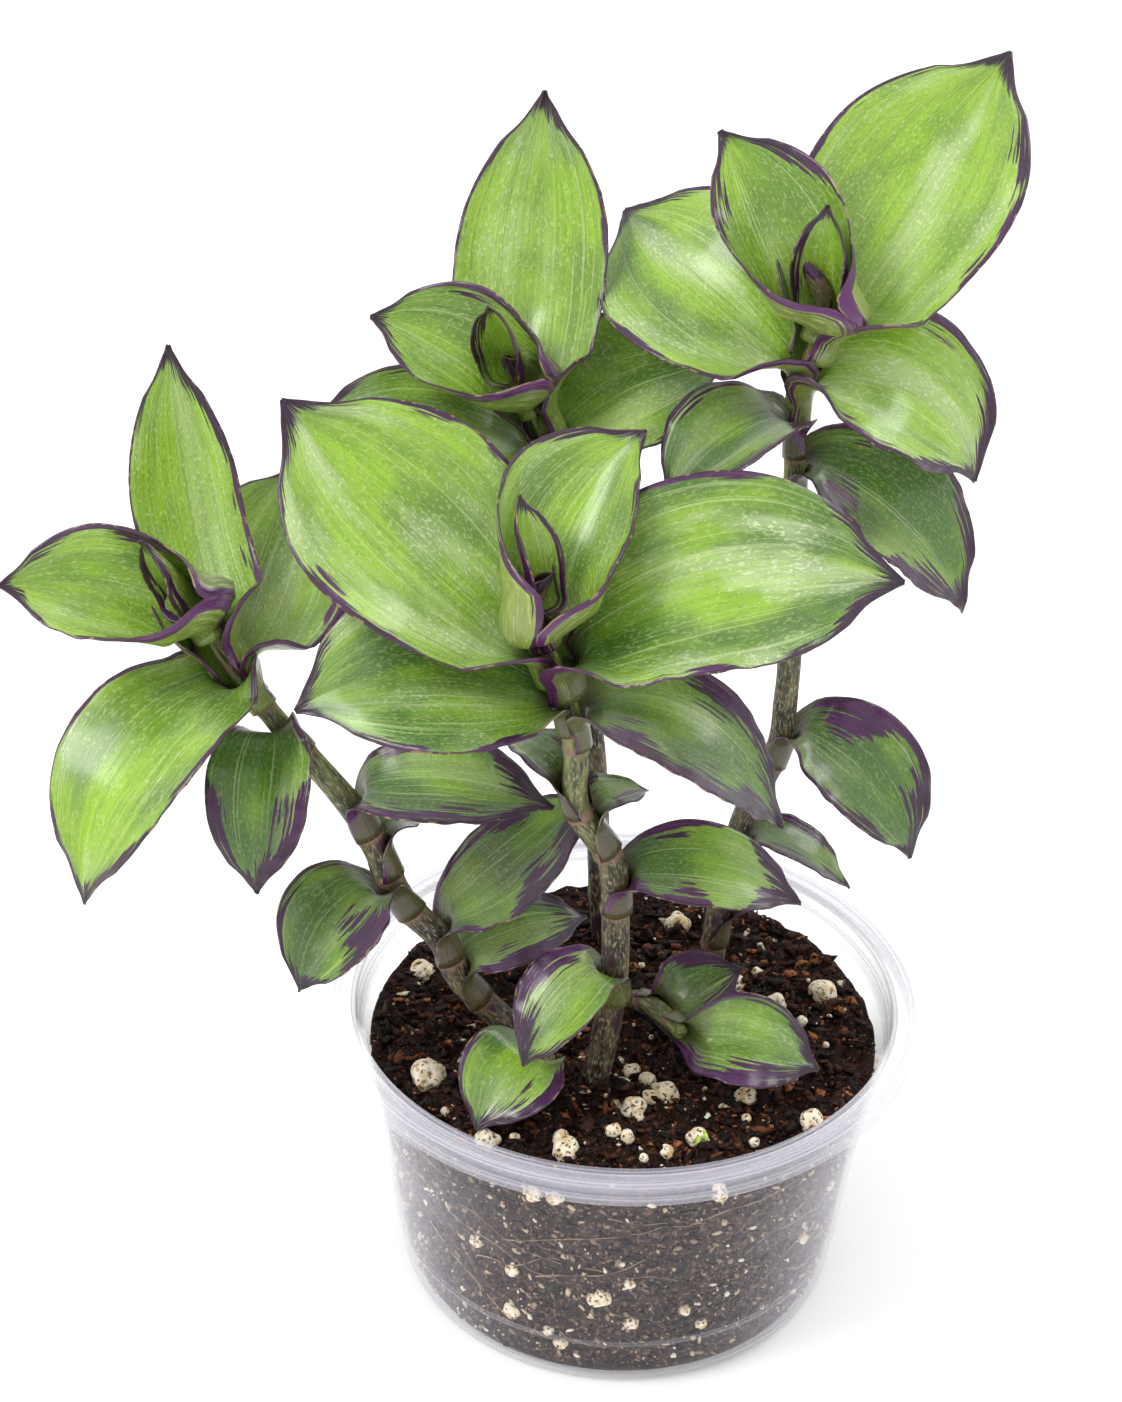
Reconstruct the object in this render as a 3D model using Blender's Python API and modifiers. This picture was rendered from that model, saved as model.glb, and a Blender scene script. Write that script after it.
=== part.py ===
"""A potted Callisia soconuscensis: a round clear plastic tub of soil and the leafy shoots rooted in it.

Sizes are in millimetres and are turned into metres where a mesh is made. The origin is the middle of
the tub's base, on the table. +Z is up, +X is to the right and +Y points away from the front.
Azimuths are in degrees round +Z, from 0 at +X (right) by 90 at +Y (back) to 180 at -X (left).
"""
import math
from dataclasses import dataclass

import bmesh
import bpy
import numpy as np
from mathutils import Matrix, Vector

MM = 0.001

# Driving sizes
TUB_HEIGHT = 63.2
RIM_RADIUS = 57.5
BASE_RADIUS = 43.4
WALL = 0.7
TUB_SIDES = 36
SOIL_LEVEL = 53.0
GAP = 0.3
STEM_SIDES = 8
LEAF_THICKNESS = 0.65


def start_clean():
    for item in list(bpy.data.objects):
        bpy.data.objects.remove(item, do_unlink=True)
    for group in list(bpy.data.collections):
        bpy.data.collections.remove(group)


def new_collection(name):
    group = bpy.data.collections.new(name)
    bpy.context.scene.collection.children.link(group)
    return group


def material(name, colour, roughness, alpha=1.0):
    mat = bpy.data.materials.new(name)
    mat.use_nodes = True
    shader = mat.node_tree.nodes["Principled BSDF"]
    shader.inputs["Base Color"].default_value = (*colour, 1.0)
    shader.inputs["Roughness"].default_value = roughness
    shader.inputs["Alpha"].default_value = alpha
    return mat


def add_object(name, data, mat, group):
    item = bpy.data.objects.new(name, data)
    item.data.materials.append(mat)
    group.objects.link(item)
    return item


def baked(item):
    """The object's mesh with its modifiers applied and its loose caps welded; the object is removed."""
    graph = bpy.context.evaluated_depsgraph_get()
    mesh = bpy.data.meshes.new_from_object(item.evaluated_get(graph))
    bm = bmesh.new()
    bm.from_mesh(mesh)
    bmesh.ops.remove_doubles(bm, verts=bm.verts, dist=0.00001)
    bmesh.ops.recalc_face_normals(bm, faces=bm.faces)
    bm.to_mesh(mesh)
    bm.free()
    bpy.data.objects.remove(item, do_unlink=True)
    return mesh


def turned(name, profile, mat, group):
    """A solid turned round Z from a profile of (radius, height) that runs from the axis to the axis."""
    mesh = bpy.data.meshes.new(name)
    points = [(radius * MM, 0.0, height * MM) for radius, height in profile]
    mesh.from_pydata(points, [(i, i + 1) for i in range(len(points) - 1)], [])
    item = add_object(name, mesh, mat, group)
    screw = item.modifiers.new("turn", "SCREW")
    screw.steps = TUB_SIDES
    screw.render_steps = TUB_SIDES
    screw.use_merge_vertices = True
    screw.merge_threshold = 0.00001
    screw.use_normal_calculate = True
    return item


def smoothstep(x):
    x = np.clip(x, 0.0, 1.0)
    return x * x * (3.0 - 2.0 * x)


def unit(v):
    return v / np.linalg.norm(v, axis=-1, keepdims=True)


# Stems

class Stem:
    """A round stem along a smooth curve through hand-placed points, thinner towards its tip."""

    def __init__(self, name, points, foot_radius, tip_radius):
        self.name = name
        self.foot_radius = foot_radius
        self.tip_radius = tip_radius
        self.line = self.smooth(np.array(points, float))
        steps = np.linalg.norm(np.diff(self.line, axis=0), axis=1)
        self.along = np.concatenate([[0.0], np.cumsum(steps)])

    @staticmethod
    def smooth(knots, steps=16):
        """A Catmull-Rom curve through the knots."""
        ends = np.vstack([2 * knots[0] - knots[1], knots, 2 * knots[-1] - knots[-2]])
        line = []
        for i in range(len(knots) - 1):
            a, b, c, d = ends[i:i + 4]
            for t in np.linspace(0, 1, steps, endpoint=False):
                bend = (2 * a - 5 * b + 4 * c - d) * t ** 2 + (3 * b - a - 3 * c + d) * t ** 3
                line.append(0.5 * (2 * b + (c - a) * t + bend))
        line.append(knots[-1])
        return np.array(line)

    def at_along(self, distance):
        return np.array([np.interp(distance, self.along, self.line[:, k]) for k in range(3)])

    def along_at_height(self, height):
        return float(np.interp(height, self.line[:, 2], self.along))

    def radius(self, distance):
        share = distance / self.along[-1]
        return self.foot_radius + (self.tip_radius - self.foot_radius) * share ** 5


def tube(name, points, radii, mat, group):
    """A round bar through the points, as a curve with a bevel and filled caps."""
    curve = bpy.data.curves.new(name, "CURVE")
    curve.dimensions = "3D"
    curve.bevel_depth = MM
    curve.bevel_resolution = 2
    curve.use_fill_caps = True
    spline = curve.splines.new("POLY")
    spline.points.add(len(points) - 1)
    for knot, place, radius in zip(spline.points, points, radii):
        knot.co = (*(place * MM), 1.0)
        knot.radius = radius
    return add_object(name, curve, mat, group)


def stem_stations(stem, spacing=7.0):
    return np.linspace(0.0, stem.along[-1], max(6, int(stem.along[-1] / spacing) + 1))


def stem_object(stem, mat, group):
    stations = stem_stations(stem)
    points = [stem.at_along(d) for d in stations]
    return tube("stem_" + stem.name, points, [stem.radius(d) for d in stations], mat, group)


# Leaves

@dataclass
class Leaf:
    """One leaf: a sheath wrapped round its stem that opens into a blade.

    The blade leaves the stem at height and points to azimuth, climbing at rise degrees at its base
    and at droop degrees at its tip. A positive roll lifts its left margin, looking from base to tip,
    and twist adds to it along the blade, as swing does to azimuth. cup is how far the blade is
    gutter-shaped, at base and tip. Past the sheath the leaf turns out over the length bend and opens
    over the length unroll. It is widest at that share of its blade.
    """
    name: str
    stem: str
    height: float
    azimuth: float
    rise: float
    droop: float
    length: float
    width: float
    attach: float = None
    sheath: float = 5.0
    neck: float = None
    unroll: float = 5.0
    bend: float = 8.0
    widest: float = 0.42
    cup: tuple = (25.0, 15.0)
    roll: float = 0.0
    twist: float = 0.0
    swing: float = 0.0
    wave: float = 0.0
    wrap: tuple = (150.0, 115.0)
    loose: float = 0.0
    rows: int = 9


BLADE_COLUMNS = 6
SHEATH_CLEARANCE = 0.43
KEEL = 5.0
WAVES = 2.5
TIP_HALF_WIDTH = 0.35


def blade_outline(leaf, blade, sheath_width, past_sheath):
    """Half the leaf's width along its length."""
    half = leaf.width / 2
    neck = sheath_width[-1] if leaf.neck is None else leaf.neck
    swell = np.sin(np.clip(blade / leaf.widest, 0, 1) * math.pi / 2)
    narrow = np.clip((blade - leaf.widest) / (1 - leaf.widest), 0, 1)
    outline = (neck + (half - neck) * swell) * np.cos(narrow * math.pi / 2)
    settle = smoothstep(past_sheath / 3.0)
    return np.maximum(sheath_width * (1 - settle) + outline * settle, TIP_HALF_WIDTH)


def leaf_grid(leaf, stem, rows, columns):
    """Points over the inner face of a leaf, as an array (row, column, xyz) in mm.

    Rows run from the foot of the sheath to the tip and columns from the right margin to the left.
    """
    foot = stem.along_at_height(leaf.height)
    axis = unit(stem.at_along(foot + leaf.sheath) - stem.at_along(foot))
    facet_share = math.cos(math.pi / STEM_SIDES)
    sheath_radius = (stem.radius(foot) + SHEATH_CLEARANCE) / facet_share + leaf.loose
    heading = math.radians(leaf.azimuth if leaf.attach is None else leaf.attach)
    out = np.array([math.cos(heading), math.sin(heading), 0.0])
    out = unit(out - axis * out.dot(axis))
    skyward = np.array([0.0, 0.0, 1.0])

    fine = np.linspace(0.0, leaf.length, 161)
    step = fine[1]
    past_sheath = fine - leaf.sheath
    blade = np.clip(past_sheath / (leaf.length - leaf.sheath), 0.0, 1.0)
    turned_out = smoothstep(past_sheath / leaf.bend)[:, None]

    pitch = np.radians(leaf.rise + (leaf.droop - leaf.rise) * blade)[:, None]
    course = np.radians(leaf.azimuth + leaf.swing * blade)[:, None]
    level = np.hstack([np.cos(course), np.sin(course), np.zeros_like(course)])
    ahead = level * np.cos(pitch) + skyward * np.sin(pitch)
    ahead = unit(axis * (1 - turned_out) + ahead * turned_out)
    path = np.vstack([np.zeros(3), np.cumsum((ahead[1:] + ahead[:-1]) * 0.5 * step, axis=0)])
    path = path + stem.at_along(foot) + out * sheath_radius

    side = np.cross(axis, out) * (1 - turned_out) + np.cross(skyward, level) * turned_out
    side = unit(side - ahead * np.sum(side * ahead, axis=1, keepdims=True))
    up = np.cross(ahead, side)
    lean = np.radians(leaf.roll * turned_out[:, 0] + leaf.twist * blade)[:, None]
    side, up = side * np.cos(lean) + up * np.sin(lean), up * np.cos(lean) - side * np.sin(lean)

    sheath_share = np.clip(fine / leaf.sheath, 0, 1)
    wrap = np.radians(leaf.wrap[0] + (leaf.wrap[1] - leaf.wrap[0]) * sheath_share)
    half_width = blade_outline(leaf, blade, sheath_radius * wrap, past_sheath)

    opened = smoothstep(past_sheath / leaf.unroll)
    cup = np.radians(leaf.cup[1] + (leaf.cup[0] - leaf.cup[1]) * (1 - blade) ** 2)
    bow = (1 - opened) / sheath_radius + cup / (leaf.width / 2) * opened
    bow = np.minimum(bow, wrap[0] / half_width)

    across = np.linspace(0.0, 1.0, 25)
    rim = smoothstep(2 * across - 1)
    shares = np.linspace(-1.0, 1.0, columns + 1)
    blade_stations = np.linspace(leaf.sheath + 2.5, leaf.length, rows)
    stations = np.concatenate([[0.0, leaf.sheath], blade_stations])
    grid = np.zeros((len(stations), columns + 1, 3))
    for i, station in enumerate(stations):
        k = int(round(station / step))
        for j, share in enumerate(shares):
            sign = 1.0 if share >= 0 else -1.0
            ripple = leaf.wave * math.sin(2 * math.pi * WAVES * blade[k] + sign)
            slope = bow[k] * half_width[k] * across
            slope = slope + opened[k] * (math.radians(KEEL) + math.radians(ripple) * rim)
            mid_slope = (slope[1:] + slope[:-1]) / 2
            run = np.concatenate([[0.0], np.cumsum(np.cos(mid_slope))])
            lift = np.concatenate([[0.0], np.cumsum(np.sin(mid_slope))])
            scale = half_width[k] / (len(across) - 1)
            x = np.interp(abs(share), across, run) * scale
            y = np.interp(abs(share), across, lift) * scale
            grid[i, j] = path[k] + side[k] * sign * x + up[k] * y
    return grid


def sheet_mesh(name, grid):
    """An open mesh of triangles over a grid of points in mm, split alike to the left and the right."""
    rows, columns = grid.shape[:2]
    bm = bmesh.new()
    verts = [[bm.verts.new(grid[i, j] * MM) for j in range(columns)] for i in range(rows)]
    for i in range(rows - 1):
        for j in range(columns - 1):
            a, b = verts[i][j], verts[i][j + 1]
            c, d = verts[i + 1][j + 1], verts[i + 1][j]
            if j < (columns - 1) // 2:
                faces = ((a, b, c), (a, c, d))
            else:
                faces = ((a, b, d), (b, c, d))
            for face in faces:
                bm.faces.new(face)
    mesh = bpy.data.meshes.new(name)
    bm.to_mesh(mesh)
    bm.free()
    return mesh


def leaf_object(leaf, stem, mat, group):
    grid = leaf_grid(leaf, stem, leaf.rows, BLADE_COLUMNS)
    item = add_object("leaf_" + leaf.name, sheet_mesh(leaf.name, grid), mat, group)
    solid = item.modifiers.new("thickness", "SOLIDIFY")
    solid.thickness = LEAF_THICKNESS * MM
    solid.offset = 1.0
    item.data.shade_smooth()
    return item


# Tub: one thin moulded shell with a stacking step near its foot and a flat flanged rim with a skirt

def wall_radius(height):
    """The outer radius of the tub's wall."""
    heights = (2.5, 11.6, 30.0, 50.0, 58.0)
    radii = (44.4, 45.8, 48.0, 51.4, 52.9)
    return float(np.interp(height, heights, radii))


def tub_object(mat, group):
    heights = (2.5, 11.6, 30.0, 50.0, 58.0)
    heel_out = [(0.0, 0.0), (BASE_RADIUS - 0.8, 0.0), (BASE_RADIUS, 0.3), (BASE_RADIUS + 0.5, 1.2)]
    wall_out = [(wall_radius(z), z) for z in heights]
    skirt = [(54.3, 62.4), (56.7, 62.4), (56.9, 57.6), (57.6, 57.4), (57.9, 58.2),
             (RIM_RADIUS, 59.0), (RIM_RADIUS, TUB_HEIGHT - 0.3), (RIM_RADIUS - 0.3, TUB_HEIGHT)]
    mouth = [(53.9, TUB_HEIGHT), (53.5, TUB_HEIGHT - 0.3)]
    wall_in = [(wall_radius(z) - WALL, z) for z in reversed(heights)]
    heel_in = [(BASE_RADIUS - 0.5, 1.2), (0.0, 0.9)]
    return turned("tub", heel_out + wall_out + skirt + mouth + wall_in + heel_in, mat, group)


# Soil: a turned plug 0.3 mm inside the tub's wall, with an uneven top, stem holes and perlite lumps

def soil_relief(x, y):
    """How far the soil's top stands over its level, in mm."""
    broad = 0.7 * math.sin(0.16 * x + 0.7) * math.sin(0.14 * y - 0.4)
    lumps = 0.5 * math.sin(0.47 * x - 0.31 * y) + 0.3 * math.sin(0.38 * y + 0.52 * x + 1.9)
    return broad + lumps


def stem_hole(stem, mat, group):
    """The cutter of a stem's hole: a tube GAP wider than the stem, from under its foot to over the soil."""
    points = [stem.at_along(d) for d in stem_stations(stem)]
    reach = 2 + sum(point[2] < SOIL_LEVEL + 3.0 for point in points)
    points = points[:reach]
    points[0] = points[0] - unit(points[1] - points[0]) * GAP
    radius = (stem.foot_radius + GAP) / math.cos(math.pi / STEM_SIDES)
    name = "hole_" + stem.name
    mesh = baked(tube(name, points, [radius] * len(points), mat, group))
    item = bpy.data.objects.new(name, mesh)
    group.objects.link(item)
    item.hide_render = True
    item.display_type = "WIRE"


def perlite_lump(x, y, radius, mat, group):
    """A rounded lump of perlite that stands out of the soil by three fifths of its height."""
    bm = bmesh.new()
    bmesh.ops.create_icosphere(bm, subdivisions=1, radius=radius * MM)
    turn = Matrix.Rotation(x, 4, "Z") @ Matrix.Rotation(y, 4, "X")
    squash = Matrix.Diagonal((1.0, 1.0, 0.8, 1.0))
    height = SOIL_LEVEL + soil_relief(x, y) + 0.2 * radius
    place = Matrix.Translation(Vector((x, y, height)) * MM)
    bmesh.ops.transform(bm, matrix=place @ squash @ turn, verts=bm.verts)
    mesh = bpy.data.meshes.new("perlite")
    bm.to_mesh(mesh)
    bm.free()
    add_object("perlite", mesh, mat, group)


def boolean(item, cutters, operation):
    cut = item.modifiers.new(operation.lower(), "BOOLEAN")
    cut.operand_type = "COLLECTION"
    cut.collection = cutters
    cut.operation = operation
    cut.solver = "EXACT"


def soil_object(mat, group, lumps, holes):
    edge = wall_radius(SOIL_LEVEL) - WALL - GAP
    rings = 8
    top = [(edge * k / rings, SOIL_LEVEL) for k in range(rings + 1)]
    side = [(wall_radius(z) - WALL - GAP, z) for z in (30.0, 11.6, 2.6)]
    base = [(BASE_RADIUS - 1.1, 1.5), (0.0, 0.9 + GAP)]
    mesh = baked(turned("soil", top + side + base, mat, group))
    for vert in mesh.vertices:
        x, y, z = vert.co / MM
        if z > SOIL_LEVEL - 1.0:
            inland = float(smoothstep((edge - math.hypot(x, y)) / 4.0))
            vert.co.z += soil_relief(x, y) * inland * MM
    item = bpy.data.objects.new("soil", mesh)
    group.objects.link(item)
    boolean(item, lumps, "UNION")
    mesh = baked(item)
    for lump in list(lumps.objects):
        bpy.data.objects.remove(lump, do_unlink=True)
    bpy.data.collections.remove(lumps)
    item = bpy.data.objects.new("soil", mesh)
    group.objects.link(item)
    boolean(item, holes, "DIFFERENCE")


start_clean()
plant = new_collection("potted_callisia")
stem_holes = new_collection("stem_hole_cutters")
lumps = new_collection("perlite_lumps")

young_green = material("young_leaf", (0.30, 0.48, 0.09), 0.4)
old_green = material("old_leaf", (0.12, 0.24, 0.06), 0.45)
bark = material("stem", (0.17, 0.14, 0.08), 0.6)
clear = material("clear_plastic", (0.85, 0.87, 0.9), 0.1, 0.4)
earth = material("soil", (0.035, 0.02, 0.012), 0.95)

# Stems, from the buried foot up to the tip inside the rosette
STEMS = {stem.name: stem for stem in (
    Stem("left", [(-16, -7, 39), (-18, -7, 53), (-31.5, -8, 70), (-36, -8, 80.5), (-43.5, -8, 90),
                  (-51.5, -7, 108), (-65, -5, 125.5), (-74, -3, 137.5), (-80.5, -2, 148.5)], 2.7, 0.9),
    Stem("front", [(-6, -14, 39), (-5.5, -15.5, 53), (-4, -16, 63), (-2.5, -17, 79), (-3, -19, 101),
                   (-4.5, -20, 109.5), (-10.5, -21, 120.5), (-11, -22, 134), (-14, -23, 148),
                   (-19, -24, 161.5)], 2.7, 0.9),
    Stem("back", [(-4, 30, 39), (-4, 30, 53), (-5, 28, 67.5), (-6.5, 25, 99), (-11, 23, 135),
                  (-15.5, 21, 168), (-22.5, 20, 185)], 2.3, 0.9),
    Stem("right", [(17, 9, 39), (18, 9.5, 53), (18.2, 10, 72), (21.8, 10.5, 95), (25, 11, 104),
                   (28.5, 11.5, 114), (29.2, 12, 124), (29.3, 12, 137), (28, 13, 172), (28, 14, 186),
                   (29, 14, 192), (32, 14, 204)], 2.4, 0.9),
    Stem("rear_left", [(-12, 12, 39), (-13, 12, 53), (-20, 13, 75), (-27, 13, 98), (-33, 13, 112),
                       (-39, 13, 130)], 2.0, 1.1),
    Stem("side", [(0, 12, 43), (1, 8.5, 53), (4, 2, 59), (8.5, -8, 62.5), (11, -14, 63.5)], 2.0, 1.4),
    Stem("sprout", [(-15, -22, 42), (-15, -21.5, 53), (-15, -20, 58), (-14.5, -18, 61)], 1.6, 1.1),
)}

# Leaves. Those in a rosette are nested: the inner ones are tight to the stem and the outer ones loose
SMALL = dict(rows=6)
HALF = dict(wrap=(74, 70))
CUP = dict(sheath=2, bend=4, unroll=4, widest=0.3, cup=(140, 45))
ROLLED = dict(sheath=2, widest=0.35, rows=6)
LEAVES = [
    # left shoot
    Leaf("left_inner", "left", 145.5, 217, 66, 53, 23, 11, roll=-40, unroll=10, bend=5,
         cup=(200, 120), **ROLLED),
    Leaf("left_cup", "left", 143.8, 178, 32, 2, 39, 30, swing=18, roll=-45, loose=1.5, **CUP),
    Leaf("left_upright", "left", 138, 112, 28, 95, 61, 22, attach=85, sheath=3.5, cup=(50, 25),
         roll=-10, loose=2.0),
    Leaf("left_low_right", "left", 127, 74, 29, 36, 50, 34, sheath=3, neck=4, roll=14, twist=4, **HALF),
    Leaf("left_low_front", "left", 124.3, 230, 12, -80, 57, 32, sheath=3, neck=4, **HALF),
    Leaf("left_hanging", "left", 117, 266, -5, -92, 39, 22, sheath=4, neck=3.5, wave=10),
    Leaf("left_mid_right", "left", 104, 350, 20, -15, 46, 22, neck=3.5, roll=20),
    Leaf("left_mid_left", "left", 87, 220, -5, -72, 34, 24, neck=3.5, roll=-10, **SMALL),
    Leaf("left_small", "left", 95, 40, 0, -30, 17, 11, neck=3, **SMALL),
    Leaf("left_low_cross", "left", 76, 10, 28, 58, 47, 22, neck=3.5, roll=25, loose=0.25),
    Leaf("left_foot", "left", 66, 20, 30, -10, 35, 19, neck=3.5, roll=20, **SMALL),
    # front shoot
    Leaf("front_inner", "front", 159, 127, 93, 78, 25, 12, roll=20, unroll=3, bend=3,
         cup=(150, 80), **ROLLED),
    Leaf("front_cup", "front", 155.5, 80, 60, 32, 43, 34, swing=-62, roll=28, loose=1, **CUP),
    Leaf("front_left", "front", 149, 160, 36, 44, 67, 40, sheath=4, neck=5, cup=(45, 20),
         roll=-26, twist=-28, loose=1.8, **HALF),
    Leaf("front_right", "front", 145.5, 8, 40, -18, 69, 40, sheath=4, neck=5, cup=(45, 20),
         roll=28, twist=20, loose=1.8, **HALF),
    Leaf("front_low_left", "front", 137.5, 190, 40, -32, 55, 36, sheath=3.5, neck=4,
         roll=-25, twist=-20, **HALF),
    Leaf("front_low_right", "front", 134, 352, 5, -62, 51, 30, sheath=3.5, neck=4, roll=8, **HALF),
    Leaf("front_node_left", "front", 119, 130, 20, -20, 24, 12, neck=3, loose=0.25, **SMALL),
    Leaf("front_node_right", "front", 110, 30, 20, -20, 20, 12, neck=3, loose=0.3, **SMALL),
    Leaf("front_mid_right", "front", 96, 0, 15, -35, 42, 19, neck=3.5, roll=25),
    Leaf("front_foot", "front", 74, 220, -10, -60, 33, 20, neck=3.5, **SMALL),
    Leaf("sprout", "sprout", 54.5, 232, 5, -45, 28, 21, sheath=4, neck=2.5, roll=-15, loose=0.35, **SMALL),
    # back shoot
    Leaf("back_inner", "back", 183, 237, 72, 50, 22, 12.5, roll=-20, unroll=10, bend=5,
         cup=(150, 80), **ROLLED),
    Leaf("back_cup", "back", 179.5, 165, 47, 10, 34, 29, swing=10, roll=-42, loose=1.1, **CUP),
    Leaf("back_upright", "back", 174.5, 85, 32, 98, 64, 32, sheath=4, cup=(50, 25), roll=-12, loose=2.1),
    Leaf("back_low_right", "back", 166, 22, 45, -8, 42, 32, sheath=3.5, neck=4, roll=18, twist=20, **HALF),
    Leaf("back_low_left", "back", 161, 190, 42, -12, 55, 26, sheath=4, neck=4, roll=-8, twist=-25, **HALF),
    # right shoot
    Leaf("right_inner", "right", 200, 227, 77, 88, 24.5, 10.5, unroll=6, bend=3, cup=(200, 120), **ROLLED),
    Leaf("right_cup", "right", 197.8, 142, 66, 40, 40, 30, roll=-42, loose=1.2, **CUP),
    Leaf("right_upright", "right", 194.5, 47, 42, 37, 67, 40, sheath=3.5, cup=(50, 20), roll=26, loose=2.2),
    Leaf("right_low_left", "right", 184.5, 153, 34, 0, 58, 38, attach=178, sheath=4, neck=4,
         swing=-42, roll=-22, twist=-22, **HALF),
    Leaf("right_low_right", "right", 181.5, 357, 22, -78, 48, 32, sheath=4, neck=4.5,
         roll=25, twist=20, **HALF),
    Leaf("right_mid_left", "right", 175, 208, 5, -55, 36, 28, sheath=4, neck=4),
    Leaf("right_mid_right", "right", 165, 350, -10, -72, 52, 27, neck=3.5, roll=30, wave=10),
    Leaf("right_low_hang", "right", 110, 335, 0, -80, 44, 23, neck=3.5, roll=30),
    Leaf("right_low_small", "right", 86, 348, 0, -50, 31, 14, neck=3, **SMALL),
    Leaf("right_foot", "right", 68, 30, 20, -15, 20, 12, neck=3, **SMALL),
    # rear left shoot
    Leaf("rear_left_a", "rear_left", 116, 160, 50, 30, 30, 18, sheath=4, neck=3.5, **SMALL),
    Leaf("rear_left_b", "rear_left", 124.5, 60, 50, 20, 24, 14, sheath=3, neck=3, **SMALL),
    Leaf("rear_left_c", "rear_left", 104, 10, 10, -40, 24, 12, neck=3, **SMALL),
    # side shoot
    Leaf("side_back", "side", 59, 18, 45, 10, 24, 17, sheath=4, neck=3, roll=20, **SMALL),
    Leaf("side_tip", "side", 62.9, 352, 15, -30, 32, 20, sheath=4, neck=3, roll=30, **SMALL),
]
YOUNG_REACH = 24.0

# Perlite lumps that stand out of the soil: x, y and radius
PERLITE = [(-38, -17, 3.6), (23, 16, 2.4), (31, 9, 2.6), (41, 12, 2.8), (2, -26, 2.6), (8, -20, 2.8),
           (-26, -35, 2.4), (-11, -38, 2.6), (14, -33, 2.2), (24, -20, 2.4), (36, -28, 2.4), (-41, 17, 2.6),
           (-30, 30, 2.4), (12, 36, 2.6), (-2, 44, 2.2)]


tub_object(clear, plant)

for stem in STEMS.values():
    stem_object(stem, bark, plant)
    stem_hole(stem, earth, stem_holes)
for x, y, radius in PERLITE:
    perlite_lump(x, y, radius, earth, lumps)
soil_object(earth, plant, lumps, stem_holes)

for leaf in LEAVES:
    shoot = STEMS[leaf.stem]
    is_young = shoot.line[-1][2] - leaf.height < YOUNG_REACH
    leaf_object(leaf, shoot, young_green if is_young else old_green, plant)
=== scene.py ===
"""Looks of a potted Callisia soconuscensis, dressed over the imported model.

Sizes are in millimetres and become metres where a mesh is made. +X is right, +Y is away from the front.
"""
import math
import random
from dataclasses import dataclass

import bmesh
import bpy
import numpy as np
from mathutils import Matrix, Vector, noise


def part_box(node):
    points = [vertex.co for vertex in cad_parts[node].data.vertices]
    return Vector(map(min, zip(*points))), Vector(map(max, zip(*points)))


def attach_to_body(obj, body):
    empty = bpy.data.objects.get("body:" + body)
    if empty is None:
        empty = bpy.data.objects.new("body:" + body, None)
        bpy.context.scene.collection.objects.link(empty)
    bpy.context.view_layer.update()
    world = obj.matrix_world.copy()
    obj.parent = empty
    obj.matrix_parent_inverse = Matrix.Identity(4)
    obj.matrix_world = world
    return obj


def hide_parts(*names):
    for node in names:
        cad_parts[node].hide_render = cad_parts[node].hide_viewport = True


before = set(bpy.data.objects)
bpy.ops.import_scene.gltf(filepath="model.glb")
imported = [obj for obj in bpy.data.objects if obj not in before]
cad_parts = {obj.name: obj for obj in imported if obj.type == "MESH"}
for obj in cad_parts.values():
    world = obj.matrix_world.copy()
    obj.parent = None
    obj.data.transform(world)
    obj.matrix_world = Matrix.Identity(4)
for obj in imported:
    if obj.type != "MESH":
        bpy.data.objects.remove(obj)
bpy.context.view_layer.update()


# Tub. A thin round tub of clear polypropylene, moulded in one piece, with a stacking step near its
# foot and a flat flanged rim whose skirt turns down. It stands on the table on its base ring.

MM = 0.001
WALL = 0.7
GAP = 0.3
tub_low, tub_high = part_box("tub")
TUB_HEIGHT = (tub_high[2] - tub_low[2]) / MM
RIM_RADIUS = 57.5
BASE_RADIUS = 43.4
CORNER_RADIUS = 0.35
TUB_SIDES = 180


def paint(code):
    """An sRGB hex colour as linear red, green, blue and alpha."""
    parts = [int(code[i:i + 2], 16) / 255 for i in (1, 3, 5)]
    return [p / 12.92 if p <= 0.04045 else ((p + 0.055) / 1.055) ** 2.4 for p in parts] + [1.0]


def feed(tree, item, inputs):
    """Gives a node its inputs: numbers, hex colours, outputs, or nodes, for their first output in use."""
    for name, value in inputs.items():
        if isinstance(value, bpy.types.Node):
            value = next(output for output in value.outputs if output.enabled)
        if isinstance(value, bpy.types.NodeSocket):
            tree.links.new(value, item.inputs[name])
        else:
            item.inputs[name].default_value = paint(value) if isinstance(value, str) else value


def new_material(name, **sockets):
    """A material with its shader's own sockets set, and its node tree."""
    mat = bpy.data.materials.new(name)
    mat.use_nodes = True
    shader = mat.node_tree.nodes["Principled BSDF"]
    feed(mat.node_tree, shader, {socket.replace("_", " "): value for socket, value in sockets.items()})
    return mat, mat.node_tree, shader


def add(tree, kind, settings=None, inputs=None):
    """Adds a node with its settings and links."""
    item = tree.nodes.new("ShaderNode" + kind)
    for name, value in (settings or {}).items():
        setattr(item, name, value)
    feed(tree, item, inputs or {})
    return item


def dress(name, mesh, materials, slot, *nodes):
    """Puts a finished mesh in the scene as a piece that rides on the pot and stands for CAD nodes."""
    piece = bpy.data.objects.new(name, mesh)
    for mat in materials:
        mesh.materials.append(mat)
    mesh.shade_smooth()
    bpy.context.scene.collection.objects.link(piece)
    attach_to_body(piece, "root")
    if nodes:
        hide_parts(*nodes)


def smoothstep(x):
    """A soft rise from 0 to 1 as x goes from 0 to 1."""
    x = np.clip(x, 0.0, 1.0)
    return x * x * (3.0 - 2.0 * x)


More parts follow.
